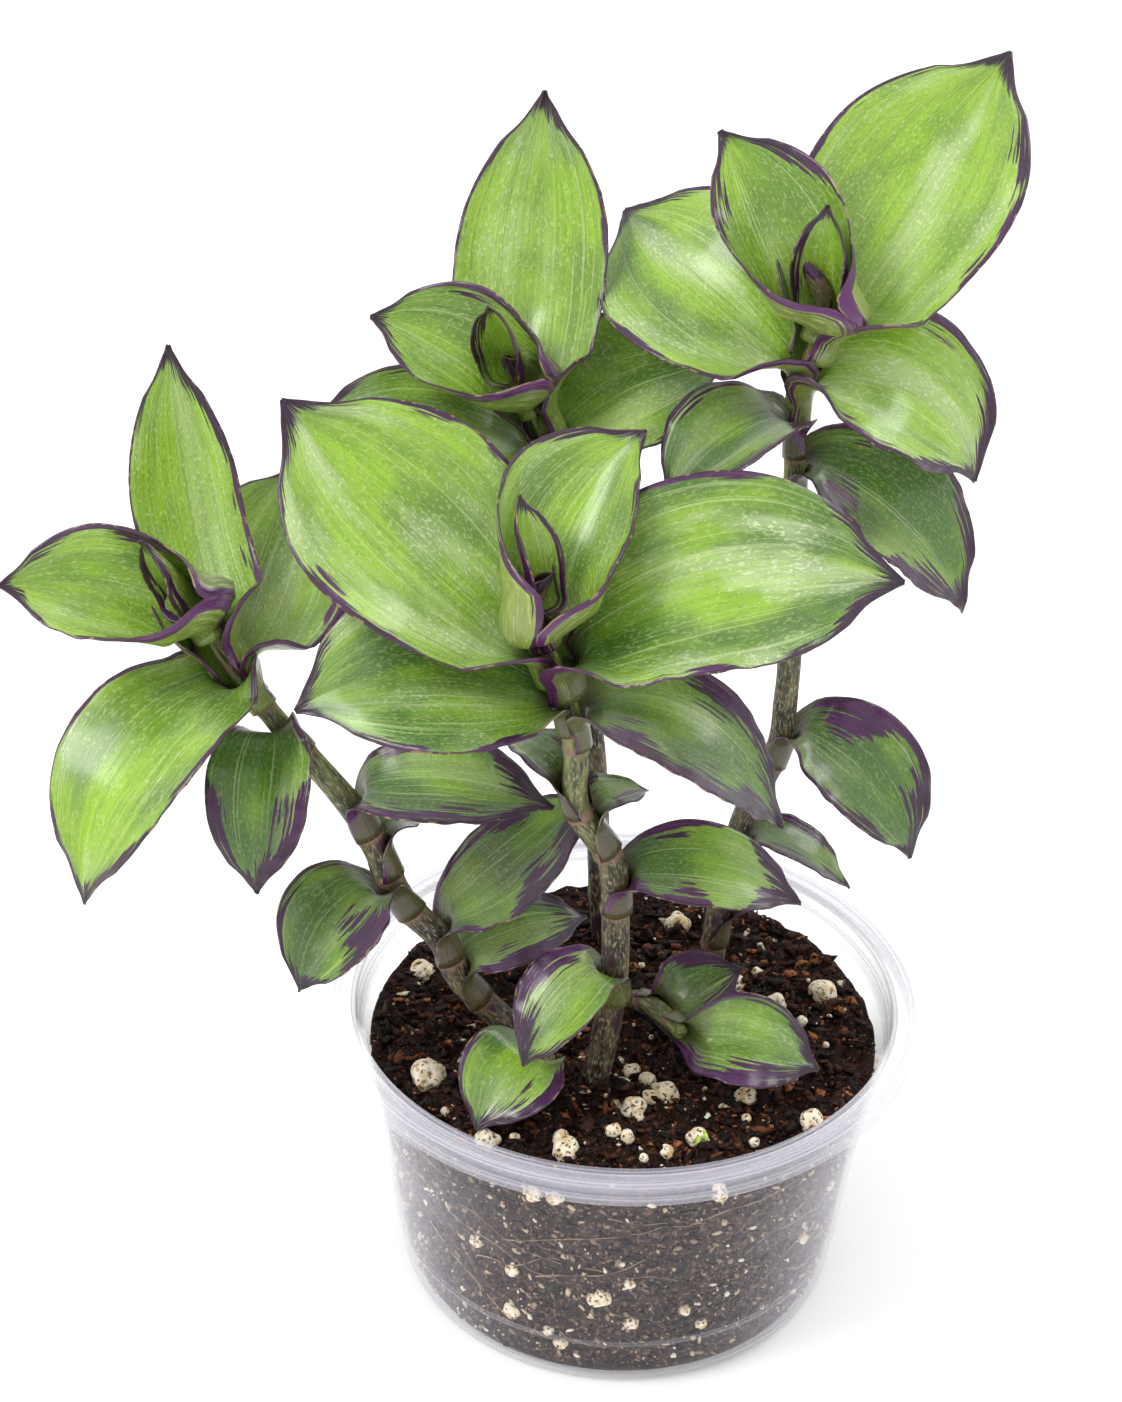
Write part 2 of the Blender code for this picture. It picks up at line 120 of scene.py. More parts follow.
def fillet(outline, radius, steps=4):
    """An open outline of (radius, height) with its corners rounded."""
    points = [np.array(p, float) for p in outline]
    rounded = [points[0]]
    for a, b, c in zip(points, points[1:], points[2:]):
        before, after = np.linalg.norm(a - b), np.linalg.norm(c - b)
        reach = min(radius, 0.4 * before, 0.4 * after)
        start, end = b + (a - b) / before * reach, b + (c - b) / after * reach
        for t in np.linspace(0, 1, steps):
            rounded.append(start * (1 - t) ** 2 + 2 * b * t * (1 - t) + end * t ** 2)
    return rounded + [points[-1]]


def lathe(name, outline, sides):
    """A closed mesh turned round Z from an outline of (radius, height) from axis to axis."""
    bm = bmesh.new()
    turns = [2 * math.pi * k / sides for k in range(sides)]
    rings = []
    for radius, height in outline:
        spokes = turns if radius > 0 else turns[:1]
        places = [(radius * math.cos(t) * MM, radius * math.sin(t) * MM, height * MM) for t in spokes]
        rings.append([bm.verts.new(place) for place in places])
    for lower, upper in zip(rings, rings[1:]):
        for k in range(sides):
            near, far = k, (k + 1) % sides
            corners = [lower[near % len(lower)], lower[far % len(lower)],
                       upper[far % len(upper)], upper[near % len(upper)]]
            bm.faces.new(list(dict.fromkeys(corners)))
    bmesh.ops.recalc_face_normals(bm, faces=bm.faces)
    mesh = bpy.data.meshes.new(name)
    bm.to_mesh(mesh)
    bm.free()
    return mesh


WALL_HEIGHTS = (2.5, 10.8, 11.6, 12.4, 30.0, 50.0, 58.0)


def wall_radius(height):
    """The outer radius of the tub's wall, with the small ledge of the stacking step."""
    return float(np.interp(height, WALL_HEIGHTS, (44.4, 45.5, 45.9, 46.0, 48.0, 51.4, 52.9)))


def millimetres(tree):
    """Object coordinates in millimetres."""
    coords = add(tree, "TexCoord")
    return add(tree, "VectorMath", {"operation": "SCALE"}, {0: coords.outputs["Object"], "Scale": 1 / MM})


# Clear polypropylene: almost nothing face on, a cool grey-lavender haze where the wall turns away, and
# more of it where the moulding is thick or bent. The pale lines there are partly that thickness and
# partly painted highlight where light would catch the bends. Each of those rings runs from one height to
# another and adds its share of haze and painted highlight.
SOFT = {"interpolation_type": "SMOOTHSTEP"}
HAZE_AND_HIGHLIGHT_RINGS = ((55.8, 70.0, 0.14), (58.7, 58.9, 0.22), (61.5, 61.9, 0.28), (11.6, 11.7, 0.14),
                (2.4, 2.5, 0.30), (0.3, 0.4, 0.12))
RING_BLUR = 0.25
clear_polypropylene, tree, shader = new_material(
    "clear_polypropylene", Base_Color="#DCDAE6", Roughness=0.08, IOR=1.49, Coat_Weight=0.6)
facing = add(tree, "LayerWeight", {}, {"Blend": 0.30}).outputs["Facing"]
haze_and_highlight = add(tree, "MapRange", SOFT, {"Value": facing, "From Min": 0.25, "From Max": 0.95,
                                    "To Min": 0.03, "To Max": 0.60})
height = add(tree, "SeparateXYZ", {}, {0: millimetres(tree)}).outputs[2]
# Each ring adds pale opacity: haze of the thick plastic, and painted highlight along its bends
for low, top, share in HAZE_AND_HIGHLIGHT_RINGS:
    start = add(tree, "MapRange", {}, {"Value": height, "From Min": low - RING_BLUR, "From Max": low})
    end = add(tree, "MapRange", {}, {"Value": height, "From Min": top + RING_BLUR, "From Max": top})
    ring = add(tree, "Math", {"operation": "MULTIPLY"}, {0: start, 1: end})
    haze_and_highlight = add(tree, "Math", {"operation": "MULTIPLY_ADD", "use_clamp": True},
               {0: ring, 1: share, 2: haze_and_highlight})
feed(tree, shader, {"Alpha": haze_and_highlight})

# The tub's outline, from the middle of its base up the outside, over the rim and down the inside
heel_out = [(0.0, 0.0), (BASE_RADIUS - 0.8, 0.0), (BASE_RADIUS, 0.3), (BASE_RADIUS + 0.6, 1.4)]
wall_out = [(wall_radius(z), z) for z in WALL_HEIGHTS]
skirt = [(54.3, 62.3), (56.6, 62.3), (56.8, 57.6), (57.5, 57.3), (57.9, 58.1), (57.5, 58.9),
         (RIM_RADIUS, 61.6), (RIM_RADIUS + 0.25, 62.2), (RIM_RADIUS, TUB_HEIGHT - 0.1),
         (RIM_RADIUS - 0.7, TUB_HEIGHT), (RIM_RADIUS - 1.1, TUB_HEIGHT - 0.35)]
mouth = [(54.9, TUB_HEIGHT - 0.4), (54.5, TUB_HEIGHT), (53.8, TUB_HEIGHT), (53.4, TUB_HEIGHT - 0.5)]
wall_in = [(wall_radius(z) - WALL, z) for z in reversed(WALL_HEIGHTS)]
heel_in = [(BASE_RADIUS - 0.5, 1.2), (0.0, 0.9)]
tub_outline = fillet(heel_out + wall_out + skirt + mouth + wall_in + heel_in, CORNER_RADIUS)
dress("clear_tub", lathe("clear_tub", tub_outline, TUB_SIDES), [clear_polypropylene], "tub", "tub")


# Soil. Dark peat potting mix that fills the tub and shows through its wall: jagged crumbs of peat and
# bark on top, and pale chips, fibres and roots pressed against the plastic.

SOIL_LEVEL = 53.0
SOIL_RADIUS = wall_radius(SOIL_LEVEL) - WALL - GAP
SOIL_SIDES = 240
TOP_RINGS = 84
PRESSED_IN = 0.45
chance = random.Random(11)


def soil_relief(x, y):
    """How far the soil's top stands over its level, in mm, as in the solid."""
    broad = 0.7 * math.sin(0.16 * x + 0.7) * math.sin(0.14 * y - 0.4)
    lumps = 0.5 * math.sin(0.47 * x - 0.31 * y) + 0.3 * math.sin(0.38 * y + 0.52 * x + 1.9)
    return broad + lumps


def crumbly(x, y, z):
    """Unevenness of loose peat, in mm."""
    coarse = noise.noise(Vector((x, y, z)) / 4.5)
    middling = noise.noise(Vector((x, y, z)) / 2.2 + Vector((5, 1, 8)))
    fine = noise.noise(Vector((x, y, z)) / 1.1 + Vector((9, 4, 2)))
    return 2.6 * coarse + 1.5 * middling + 0.6 * fine


def soil_top(x, y):
    """The height of the soil's top at a place."""
    inland = float(smoothstep((SOIL_RADIUS - math.hypot(x, y)) / 4.0))
    return SOIL_LEVEL + soil_relief(x, y) * inland + crumbly(x, y, 0) * (0.35 + 0.65 * inland)


def write_attribute(mesh, name, values):
    """Stores three numbers for each vertex under a name."""
    layer = mesh.attributes.new(name, "FLOAT_VECTOR", "POINT")
    layer.data.foreach_set("vector", np.asarray(values, np.float32).ravel())


def read_attribute(tree, name):
    """The three numbers that a mesh stores under a name."""
    item = add(tree, "Attribute", {"attribute_name": name})
    return add(tree, "SeparateXYZ", {}, {0: item.outputs["Vector"]}).outputs


def speckled(tree, coords, pace, low, high, detail=2.0):
    """A soft mask of noise between two levels, with pace as its grains to a millimetre."""
    grain = add(tree, "TexNoise", {}, {"Vector": coords, "Scale": pace, "Detail": detail})
    return add(tree, "MapRange", SOFT, {"Value": grain, "From Min": low, "From Max": high})


def layered(tree, colour, over, mask, share=1.0):
    """One colour laid over another where a mask is high, at a share of its full strength."""
    cover = add(tree, "Math", {"operation": "MULTIPLY"}, {0: mask, 1: share})
    return add(tree, "Mix", {"data_type": "RGBA"}, {0: cover, 6: colour, 7: over})


def flecked(tree, colour, over, coords, pace, low, high, detail=2.0):
    """One colour laid over another in soft flecks."""
    return layered(tree, colour, over, speckled(tree, coords, pace, low, high, detail))


def roughen(tree, shader, coords, pace, detail, strength, depth):
    """Makes a surface uneven by noise as deep as depth in mm."""
    grain = add(tree, "TexNoise", {}, {"Vector": coords, "Scale": pace, "Detail": detail})
    bump = add(tree, "Bump", {}, {"Height": grain, "Strength": strength, "Distance": depth * MM})
    feed(tree, shader, {"Normal": bump})


# Damp peat: almost black and dull, with red-brown bark grit and a few pale specks of sand
damp_peat, tree, shader = new_material("damp_peat", Roughness=0.75, Specular_IOR_Level=0.2)
place = millimetres(tree)
colour = flecked(tree, "#0D0604", "#2A1810", place, 0.5, 0.35, 0.65)
colour = flecked(tree, colour, "#5E2F1C", place, 0.8, 0.60, 0.68)
colour = flecked(tree, colour, "#C9B592", place, 1.3, 0.70, 0.74)
feed(tree, shader, {"Base Color": colour})
roughen(tree, shader, place, pace=1.4, detail=4.0, strength=1.0, depth=0.5)

# Peat pressed on the plastic: dark brown, broken up by grit of every size down to 0.3 mm
pressed_peat, tree, shader = new_material("pressed_peat", Roughness=0.8)
place = millimetres(tree)
colour = flecked(tree, "#1C120E", "#3A2A22", place, 0.35, 0.35, 0.65)
colour = flecked(tree, colour, "#6E5644", place, 0.9, 0.56, 0.64, 3.0)
colour = flecked(tree, colour, "#A58B6B", place, 1.8, 0.62, 0.68, 3.0)
feed(tree, shader, {"Base Color": colour})

# The rings of the top lie a little closer together towards the plastic
top_rings = [(SOIL_RADIUS * (k / TOP_RINGS) ** 0.85, SOIL_LEVEL) for k in range(TOP_RINGS)]
side_rings = [(wall_radius(z) - WALL - GAP, z) for z in np.linspace(SOIL_LEVEL - 0.4, 2.6, 34)]
base_rings = [(BASE_RADIUS - 1.1, 1.5), (0.0, 0.9 + GAP)]
mesh = lathe("potting_mix", top_rings + side_rings + base_rings, SOIL_SIDES)
for vert in mesh.vertices:
    x, y, z = vert.co / MM
    if z > SOIL_LEVEL - 0.2:
        vert.co.z = soil_top(x, y) * MM
    elif z > 2.0:
        reach = 1 - (PRESSED_IN + 0.25 * abs(crumbly(x, y, z))) / math.hypot(x, y)
        vert.co.x *= reach
        vert.co.y *= reach
for face in mesh.polygons:
    on_top = face.normal.z > 0.3 and face.center.z > (SOIL_LEVEL - 2) * MM
    face.material_index = 0 if on_top else 1
dress("potting_mix", mesh, [damp_peat, pressed_peat], "soil", "soil")


def unit(v):
    """Vectors drawn to a length of one."""
    return v / np.linalg.norm(v, axis=-1, keepdims=True)


def grain_colour(tree, *stops):
    """The colour of each grain by its tint: that of the last stop up to it, each a (tint, hex colour)."""
    item = add(tree, "ValToRGB", {}, {"Fac": read_attribute(tree, "grain_tint")[0]})
    item.color_ramp.interpolation = "CONSTANT"
    for k, (tint, colour) in enumerate(stops):
        stop = item.color_ramp.elements[0] if k == 0 else item.color_ramp.elements.new(tint)
        stop.position = tint
        stop.color = paint(colour)
    item.color_ramp.elements.remove(item.color_ramp.elements[-1])
    return item


def grains_mesh(name, grains, detail=1, rough=0.35):
    """Jagged grains as one mesh, each a (centre, half sizes, own axes, tint)."""
    centres, sizes, frames, tints = zip(*grains)
    bm = bmesh.new()
    bmesh.ops.create_icosphere(bm, subdivisions=detail, radius=1.0)
    ball = np.array([vert.co[:] for vert in bm.verts])
    ball_faces = np.array([[vert.index for vert in face.verts] for face in bm.faces])
    bm.free()
    count, corners = len(centres), len(ball)
    swell = 1 + rough * np.random.RandomState(count).uniform(-1, 1, (count, corners, 1))
    local = ball[None] * np.array(sizes)[:, None, :] * swell
    points = np.einsum("nkc,ncd->nkd", local, np.array(frames)) + np.array(centres)[:, None, :]
    faces = ball_faces[None] + (np.arange(count) * corners)[:, None, None]
    mesh = bpy.data.meshes.new(name)
    mesh.from_pydata((points.reshape(-1, 3) * MM).tolist(), [], faces.reshape(-1, 3).tolist())
    tint = np.zeros((count, corners, 3))
    tint[..., 0] = np.array(tints)[:, None]
    write_attribute(mesh, "grain_tint", tint)
    return mesh


def tumbled():
    """Three axes turned any way, for a grain that lies loose."""
    turn = Matrix.Rotation(chance.uniform(0, 6.28), 3, "Z")
    tilt = Matrix.Rotation(chance.uniform(-0.9, 0.9), 3, "X")
    return np.array(turn @ tilt)


# Crumbs of peat and bark loose on the top, from black through brown to a few rusty ones
CRUMBS = 8500
FINEST_CRUMB = 0.22
CRUMB_SPREAD = 0.8
peat_crumb, tree, shader = new_material("peat_crumb", Roughness=0.6, Specular_IOR_Level=0.2)
colour = grain_colour(tree, (0.0, "#0D0604"), (0.28, "#24120A"), (0.52, "#412313"),
                      (0.76, "#66371D"), (0.90, "#9A6034"), (0.97, "#DCCBAB"))
colour = flecked(tree, colour, "#1A0E09", millimetres(tree), 1.2, 0.45, 0.65)
feed(tree, shader, {"Base Color": colour})
crumbs = []
for _ in range(CRUMBS):
    girth = FINEST_CRUMB + CRUMB_SPREAD * chance.random() ** 4
    angle = chance.uniform(0, 2 * math.pi)
    far = (SOIL_RADIUS - 0.3 - 2.8 * girth) * math.sqrt(chance.random())
    x, y = far * math.cos(angle), far * math.sin(angle)
    centre = (x, y, soil_top(x, y) + girth * chance.uniform(0.0, 0.8))
    size = (girth * chance.uniform(1.0, 2.6), girth, girth * chance.uniform(0.4, 0.9))
    crumbs.append((centre, size, tumbled(), chance.random()))
mesh = grains_mesh("peat_crumbs", crumbs, rough=0.55)
dress("peat_crumbs", mesh, [peat_crumb], "soil")

# A tiny yellow-green weed seedling at the front right: five leaves no bigger than a grain
SEEDLING_PLACE = (14.7, -35.0)
SEEDLING_TURN = 1.3
seedling_green, tree, shader = new_material("seedling_green", Roughness=0.5)
colour = flecked(tree, "#8FB52E", "#C3D95A", millimetres(tree), 0.9, 0.35, 0.65)
feed(tree, shader, {"Base Color": colour})
leaflets = []
for k in range(5):
    turn = SEEDLING_TURN * k
    x, y = SEEDLING_PLACE[0] + 1.1 * math.cos(turn), SEEDLING_PLACE[1] + 0.9 * math.sin(turn)
    axes = np.array(Matrix.Rotation(turn, 3, "Z") @ Matrix.Rotation(0.5, 3, "Y")).T
    leaflets.append(((x, y, soil_top(x, y) + 0.9 + 0.2 * k), (0.9, 0.45, 0.15), axes, 0.0))
mesh = grains_mesh("weed_seedling", leaflets, detail=2, rough=0.1)
dress("weed_seedling", mesh, [seedling_green], "soil")

# Bark chips, straw and grit pressed flat between the soil and the plastic: brown, tan and cream
CHIPS = 9000
CHIP_SLANT = -35
CHIP_SLANT_SPREAD = 40
pressed_chip, tree, shader = new_material("pressed_chip", Roughness=0.7)
colour = grain_colour(tree, (0.0, "#1C1310"), (0.34, "#3C2D25"), (0.60, "#665245"),
                      (0.78, "#98836E"), (0.90, "#CDBA9A"), (0.97, "#F2EAD8"))
feed(tree, shader, {"Base Color": colour})


def wall_frame(angle, slant):
    """Axes on the soil's side: along a slant that falls to the right, across it, and outwards."""
    outward = np.array([math.cos(angle), math.sin(angle), 0.0])
    sideways = np.array([-math.sin(angle), math.cos(angle), 0.0])
    upright = np.array([0.0, 0.0, 1.0])
    along = sideways * math.cos(slant) + upright * math.sin(slant)
    return np.array([along, upright * math.cos(slant) - sideways * math.sin(slant), outward])


chips = []
for _ in range(CHIPS):
    angle, z = chance.uniform(0, 2 * math.pi), 2.8 + 49.5 * chance.random()
    radius = wall_radius(z) - WALL - GAP - PRESSED_IN + 0.12
    length = 0.25 + 0.9 * chance.random() ** 3
    slant = math.radians(chance.gauss(CHIP_SLANT, CHIP_SLANT_SPREAD))
    centre = (radius * math.cos(angle), radius * math.sin(angle), z)
    size = (length, (0.35 + 0.45 * chance.random()) * min(length, 0.8), 0.3)
    chips.append((centre, size, wall_frame(angle, slant), chance.random()))
mesh = grains_mesh("pressed_chips", chips, rough=0.25)
dress("pressed_chips", mesh, [pressed_chip], "soil")


def tube_grid(points, radii, sides):
    """Points on rings round a line, each ring square to it and turned as little as may be."""
    ahead = unit(np.gradient(points, axis=0))
    side = unit(np.cross(ahead[0], (0.3, 0.9, 0.1)))
    grid = []
    for k, place in enumerate(points):
        side = unit(side - ahead[k] * side.dot(ahead[k]))
        up = np.cross(ahead[k], side)
        turns = np.linspace(0, 2 * math.pi, sides, endpoint=False)[:, None]
        grid.append(place + radii[k] * (side * np.cos(turns) + up * np.sin(turns)))
    return np.array(grid)


def tube_mesh(name, *grids):
    """A mesh of closed tubes, each over its rings of points in mm, with capped ends."""
    points, faces = [], []
    for grid in grids:
        rings, sides = grid.shape[:2]
        first = sum(len(p) for p in points)
        faces += [(first + r * sides + k, first + r * sides + (k + 1) % sides,
                   first + (r + 1) * sides + (k + 1) % sides, first + (r + 1) * sides + k)
                  for r in range(rings - 1) for k in range(sides)]
        faces += [tuple(first + k for k in reversed(range(sides))),
                  tuple(first + (rings - 1) * sides + k for k in range(sides))]
        points.append(grid.reshape(-1, 3))
    mesh = bpy.data.meshes.new(name)
    mesh.from_pydata((np.vstack(points) * MM).tolist(), [], faces)
    return mesh


# Roots: thin pale brown threads that wander over the soil's side, seen through the plastic
ROOTS = 60
ROOT_RINGS = 14
root_skin, tree, shader = new_material("root_skin", Roughness=0.6)
colour = flecked(tree, "#6E5844", "#B59C7A", millimetres(tree), 0.3, 0.4, 0.6)
feed(tree, shader, {"Base Color": colour})
threads = []
for _ in range(ROOTS):
    angle, z = chance.uniform(0, 2 * math.pi), chance.uniform(6, 48)
    slope, reach = chance.uniform(-0.7, 0.5), chance.uniform(6, 26)
    points = []
    for t in np.linspace(0, 1, ROOT_RINGS):
        drift = 2.2 * noise.noise(Vector((t * 2.5, angle * 9, z)))
        height = min(max(z + slope * reach * t + drift, 3.2), 51.5)
        radius = wall_radius(height) - WALL - 0.45
        turn = angle + reach * t / 48
        points.append((radius * math.cos(turn), radius * math.sin(turn), height))
    radii = np.linspace(0.13, 0.06, ROOT_RINGS) * chance.uniform(0.7, 1.3)
    threads.append(tube_grid(np.array(points), radii, 5))
dress("roots", tube_mesh("roots", *threads), [root_skin], "soil")


# Perlite. Puffed volcanic glass: round cream-white grains with pits painted dark as shade, mixed through
# the soil.
# Each lump is a lumpy ball with pits pressed into it.

# Each lump is where it lies on the soil, to the right and away, and its radius
PERLITE = [(-38, -17, 3.6), (23, 16, 2.4), (31, 9, 2.6), (41, 12, 2.8), (2, -26, 2.6), (8, -20, 2.8),
           (-26, -35, 2.4), (-11, -38, 2.6), (14, -33, 2.2), (24, -20, 2.4), (36, -28, 2.4), (-41, 17, 2.6),
           (-30, 30, 2.4), (12, 36, 2.6), (-2, 44, 2.2)]
SMALL_PERLITE = [(1.5, -12.3, 1.9), (-0.3, -18.8, 1.6), (4.8, -15.8, 1.7), (5, -23, 1.5),
                 (-1.3, -23.1, 1.2), (-12, -33.5, 1.7), (-2, -33.5, 1.5), (0.6, -34.4, 1.4),
                 (-20.8, -34.4, 1.0), (-34.5, -25.4, 1.1), (8, -37.3, 1.4), (3.6, -40.9, 0.9),
                 (24.7, -33.6, 1.1), (23.6, -27.1, 1.0), (33, -15, 1.3), (16, -26, 0.9),
                 (28, 20, 1.3), (36, 3, 1.2)]
PERLITE_DUST = 70
HIDDEN_PERLITE = 60

# Puffed perlite: chalky and dull, cream-white with a yellow tinge, brown flecks, and brown pits whose
# dark colour is painted shade
puffed_perlite, tree, shader = new_material("puffed_perlite", Roughness=0.85)
pit_shade = read_attribute(tree, "pit_depth")[0]
place = millimetres(tree)
colour = flecked(tree, "#F3E8D0", "#D3B581", place, 0.5, 0.45, 0.7)
colour = flecked(tree, colour, "#6B4A2C", place, 1.3, 0.58, 0.64)
# Painted shade: dark brown laid into the pits, darkest where they are deepest
colour = layered(tree, colour, "#3B2617", pit_shade)
feed(tree, shader, {"Base Color": colour})
roughen(tree, shader, place, pace=1.6, detail=3.0, strength=0.8, depth=0.3)


def perlite_mesh(name, lumps):
    """Pitted balls as one mesh, each from its centre and radius, with how deep its pits are."""
    points, faces, depths = [], [], []
    for centre, radius in lumps:
        bm = bmesh.new()
        bmesh.ops.create_icosphere(bm, subdivisions=4 if radius > 1.2 else 3, radius=1.0)
        ball = np.array([vert.co[:] for vert in bm.verts])
        first = sum(len(p) for p in points)
        faces += [[first + vert.index for vert in face.verts] for face in bm.faces]
        bm.free()
        swell = np.array([1 + 0.28 * noise.noise(Vector(out) * 1.1 + Vector(centre)) for out in ball])
        depth = np.zeros(len(ball))
        for _ in range(int(8 + 5 * radius)):
            aim = unit(np.array([chance.gauss(0, 1), chance.gauss(0, 1), chance.gauss(0, 1)]))
            spread = chance.uniform(0.08, 0.26) / radius ** 0.5
            depth = np.maximum(depth, smoothstep(1.4 - np.linalg.norm(ball - aim, axis=1) / spread))
        points.append(np.array(centre) + ball * (radius * swell * (1 - 0.12 * depth))[:, None])
        depths.append(depth)
    points = np.vstack(points)
    room = np.array([wall_radius(z) - WALL - 0.05 for z in points[:, 2]])
    points[:, :2] *= np.minimum(1.0, room / np.hypot(points[:, 0], points[:, 1]))[:, None]
    mesh = bpy.data.meshes.new(name)
    mesh.from_pydata((points * MM).tolist(), [], faces)
    depths = np.concatenate(depths)
    write_attribute(mesh, "pit_depth", np.stack([depths] * 3, axis=1))
    return mesh


# Lumps pressed on the plastic, as seen through it: bearing in degrees, height and radius. Round the
# sides and the back more are placed by chance.
wall_perlite = [(-110, 50.7, 2.0), (-105, 51.0, 1.8), (-69, 51.3, 1.8), (-127, 30.0, 1.7),
                (-117, 26.4, 1.7), (-95, 23.9, 2.6), (-88, 28.2, 1.2), (-118, 14.0, 1.9),
                (-87, 16.6, 1.4), (-74, 19.2, 1.3), (-69, 14.0, 1.3), (-105, 8.3, 1.4), (-108, 11.7, 1.2)]
for _ in range(HIDDEN_PERLITE):
    bearing, z = chance.uniform(-40, 220), chance.uniform(5, 50)
    wall_perlite.append((bearing, z, 0.6 + 1.3 * chance.random() ** 2))

lumps = [((x, y, SOIL_LEVEL + soil_relief(x, y) + 0.2 * radius), radius) for x, y, radius in PERLITE]
lumps += [((x, y, soil_top(x, y) + 0.5 * radius), radius) for x, y, radius in SMALL_PERLITE]
for _ in range(PERLITE_DUST):
    angle, far = chance.uniform(0, 2 * math.pi), (SOIL_RADIUS - 1.5) * math.sqrt(chance.random())
    x, y = far * math.cos(angle), far * math.sin(angle)
    lumps.append(((x, y, soil_top(x, y) + 0.3), 0.3 + 0.5 * chance.random() ** 3))
for bearing, z, radius in wall_perlite:
    away = wall_radius(z) - WALL - 0.75 * radius
    turn = math.radians(bearing)
    lumps.append(((away * math.cos(turn), away * math.sin(turn), z), radius))
dress("perlite_grains", perlite_mesh("perlite_grains", lumps), [puffed_perlite], "soil")


# Stems. Fleshy round stems, olive-brown with pale scaly streaks and a swollen ring at each joint,
# rooted in the soil. Each thins out only near its tip, inside the rosette.

STEM_SIDES = 8
RING_SIDES = 24


class Stem:
    """A round stem along a smooth curve through listed points, thinner towards its tip."""

    def __init__(self, name, points, foot_radius, tip_radius):
        self.name = name
        self.foot_radius = foot_radius
        self.tip_radius = tip_radius
        self.line = self.smooth(np.array(points, float))
        steps = np.linalg.norm(np.diff(self.line, axis=0), axis=1)
        self.along = np.concatenate([[0.0], np.cumsum(steps)])

    @staticmethod
    def smooth(knots, steps=16):
        """A Catmull-Rom curve through the knots."""
        ends = np.vstack([2 * knots[0] - knots[1], knots, 2 * knots[-1] - knots[-2]])
        line = []
        for i in range(len(knots) - 1):
            a, b, c, d = ends[i:i + 4]
            for t in np.linspace(0, 1, steps, endpoint=False):
                bend = (2 * a - 5 * b + 4 * c - d) * t ** 2 + (3 * b - a - 3 * c + d) * t ** 3
                line.append(0.5 * (2 * b + (c - a) * t + bend))
        line.append(knots[-1])
        return np.array(line)

    def at_along(self, distance):
        """The place on the stem's middle line so far along it."""
        return np.array([np.interp(distance, self.along, self.line[:, k]) for k in range(3)])

    def along_at_height(self, height):
        """How far along the stem a height is."""
        return float(np.interp(height, self.line[:, 2], self.along))

    def radius(self, distance):
        """The stem's radius so far along it."""
        share = distance / self.along[-1]
        return self.foot_radius + (self.tip_radius - self.foot_radius) * share ** 5


STEMS = {stem.name: stem for stem in (
    Stem("left", [(-16, -7, 39), (-18, -7, 53), (-31.5, -8, 70), (-36, -8, 80.5), (-43.5, -8, 90),
                  (-51.5, -7, 108), (-65, -5, 125.5), (-74, -3, 137.5), (-80.5, -2, 148.5)], 2.7, 0.9),
    Stem("front", [(-6, -14, 39), (-5.5, -15.5, 53), (-4, -16, 63), (-2.5, -17, 79), (-3, -19, 101),
                   (-4.5, -20, 109.5), (-10.5, -21, 120.5), (-11, -22, 134), (-14, -23, 148),
                   (-19, -24, 161.5)], 2.7, 0.9),
    Stem("back", [(-4, 30, 39), (-4, 30, 53), (-5, 28, 67.5), (-6.5, 25, 99), (-11, 23, 135),
                  (-15.5, 21, 168), (-22.5, 20, 185)], 2.3, 0.9),
    Stem("right", [(17, 9, 39), (18, 9.5, 53), (18.2, 10, 72), (21.8, 10.5, 95), (25, 11, 104),
                   (28.5, 11.5, 114), (29.2, 12, 124), (29.3, 12, 137), (28, 13, 172), (28, 14, 186),
                   (29, 14, 192), (32, 14, 204)], 2.4, 0.9),
    Stem("rear_left", [(-12, 12, 39), (-13, 12, 53), (-20, 13, 75), (-27, 13, 98), (-33, 13, 112),
                       (-39, 13, 130)], 2.0, 1.1),
    Stem("side", [(0, 12, 43), (1, 8.5, 53), (4, 2, 59), (8.5, -8, 62.5), (11, -14, 63.5)], 2.0, 1.4),
    Stem("sprout", [(-15, -22, 42), (-15, -21.5, 53), (-15, -20, 58), (-14.5, -18, 61)], 1.6, 1.1),
)}


# The leaves are listed before the bark is made, because a stem has a joint where each leaf sits
@dataclass
class Leaf:
    """One leaf: a sheath wrapped round its stem that opens into a blade.

    The first fields are the solid's own. clasp is how far past its sheath the leaf stays closed round the
    leaves inside it, and flare how much wider its ring gets over the next 6 mm. bands are the purple
    margins on the left and right, tone goes from fresh (0 or less) to old dark green (1), the field after
    it sets the pale silver streaks, partly a wax bloom and partly painted sheen, and blush the violet of
    its skin.
    """
    name: str
    stem: str
    height: float
    azimuth: float
    rise: float
    droop: float
    length: float
    width: float
    attach: float = None
    sheath: float = 5.0
    neck: float = None
    unroll: float = 5.0
    bend: float = 8.0
    widest: float = 0.42
    cup: tuple = (25.0, 15.0)
    roll: float = 0.0
    twist: float = 0.0
    swing: float = 0.0
    wave: float = 0.0
    wrap: tuple = (150.0, 115.0)
    loose: float = 0.0
    clasp: float = 0.0
    flare: float = 0.0
    bands: tuple = (1.0, 1.0)
    tone: float = 0.0
    bloom_and_painted_sheen: float = 0.5
    blush: float = 0.2


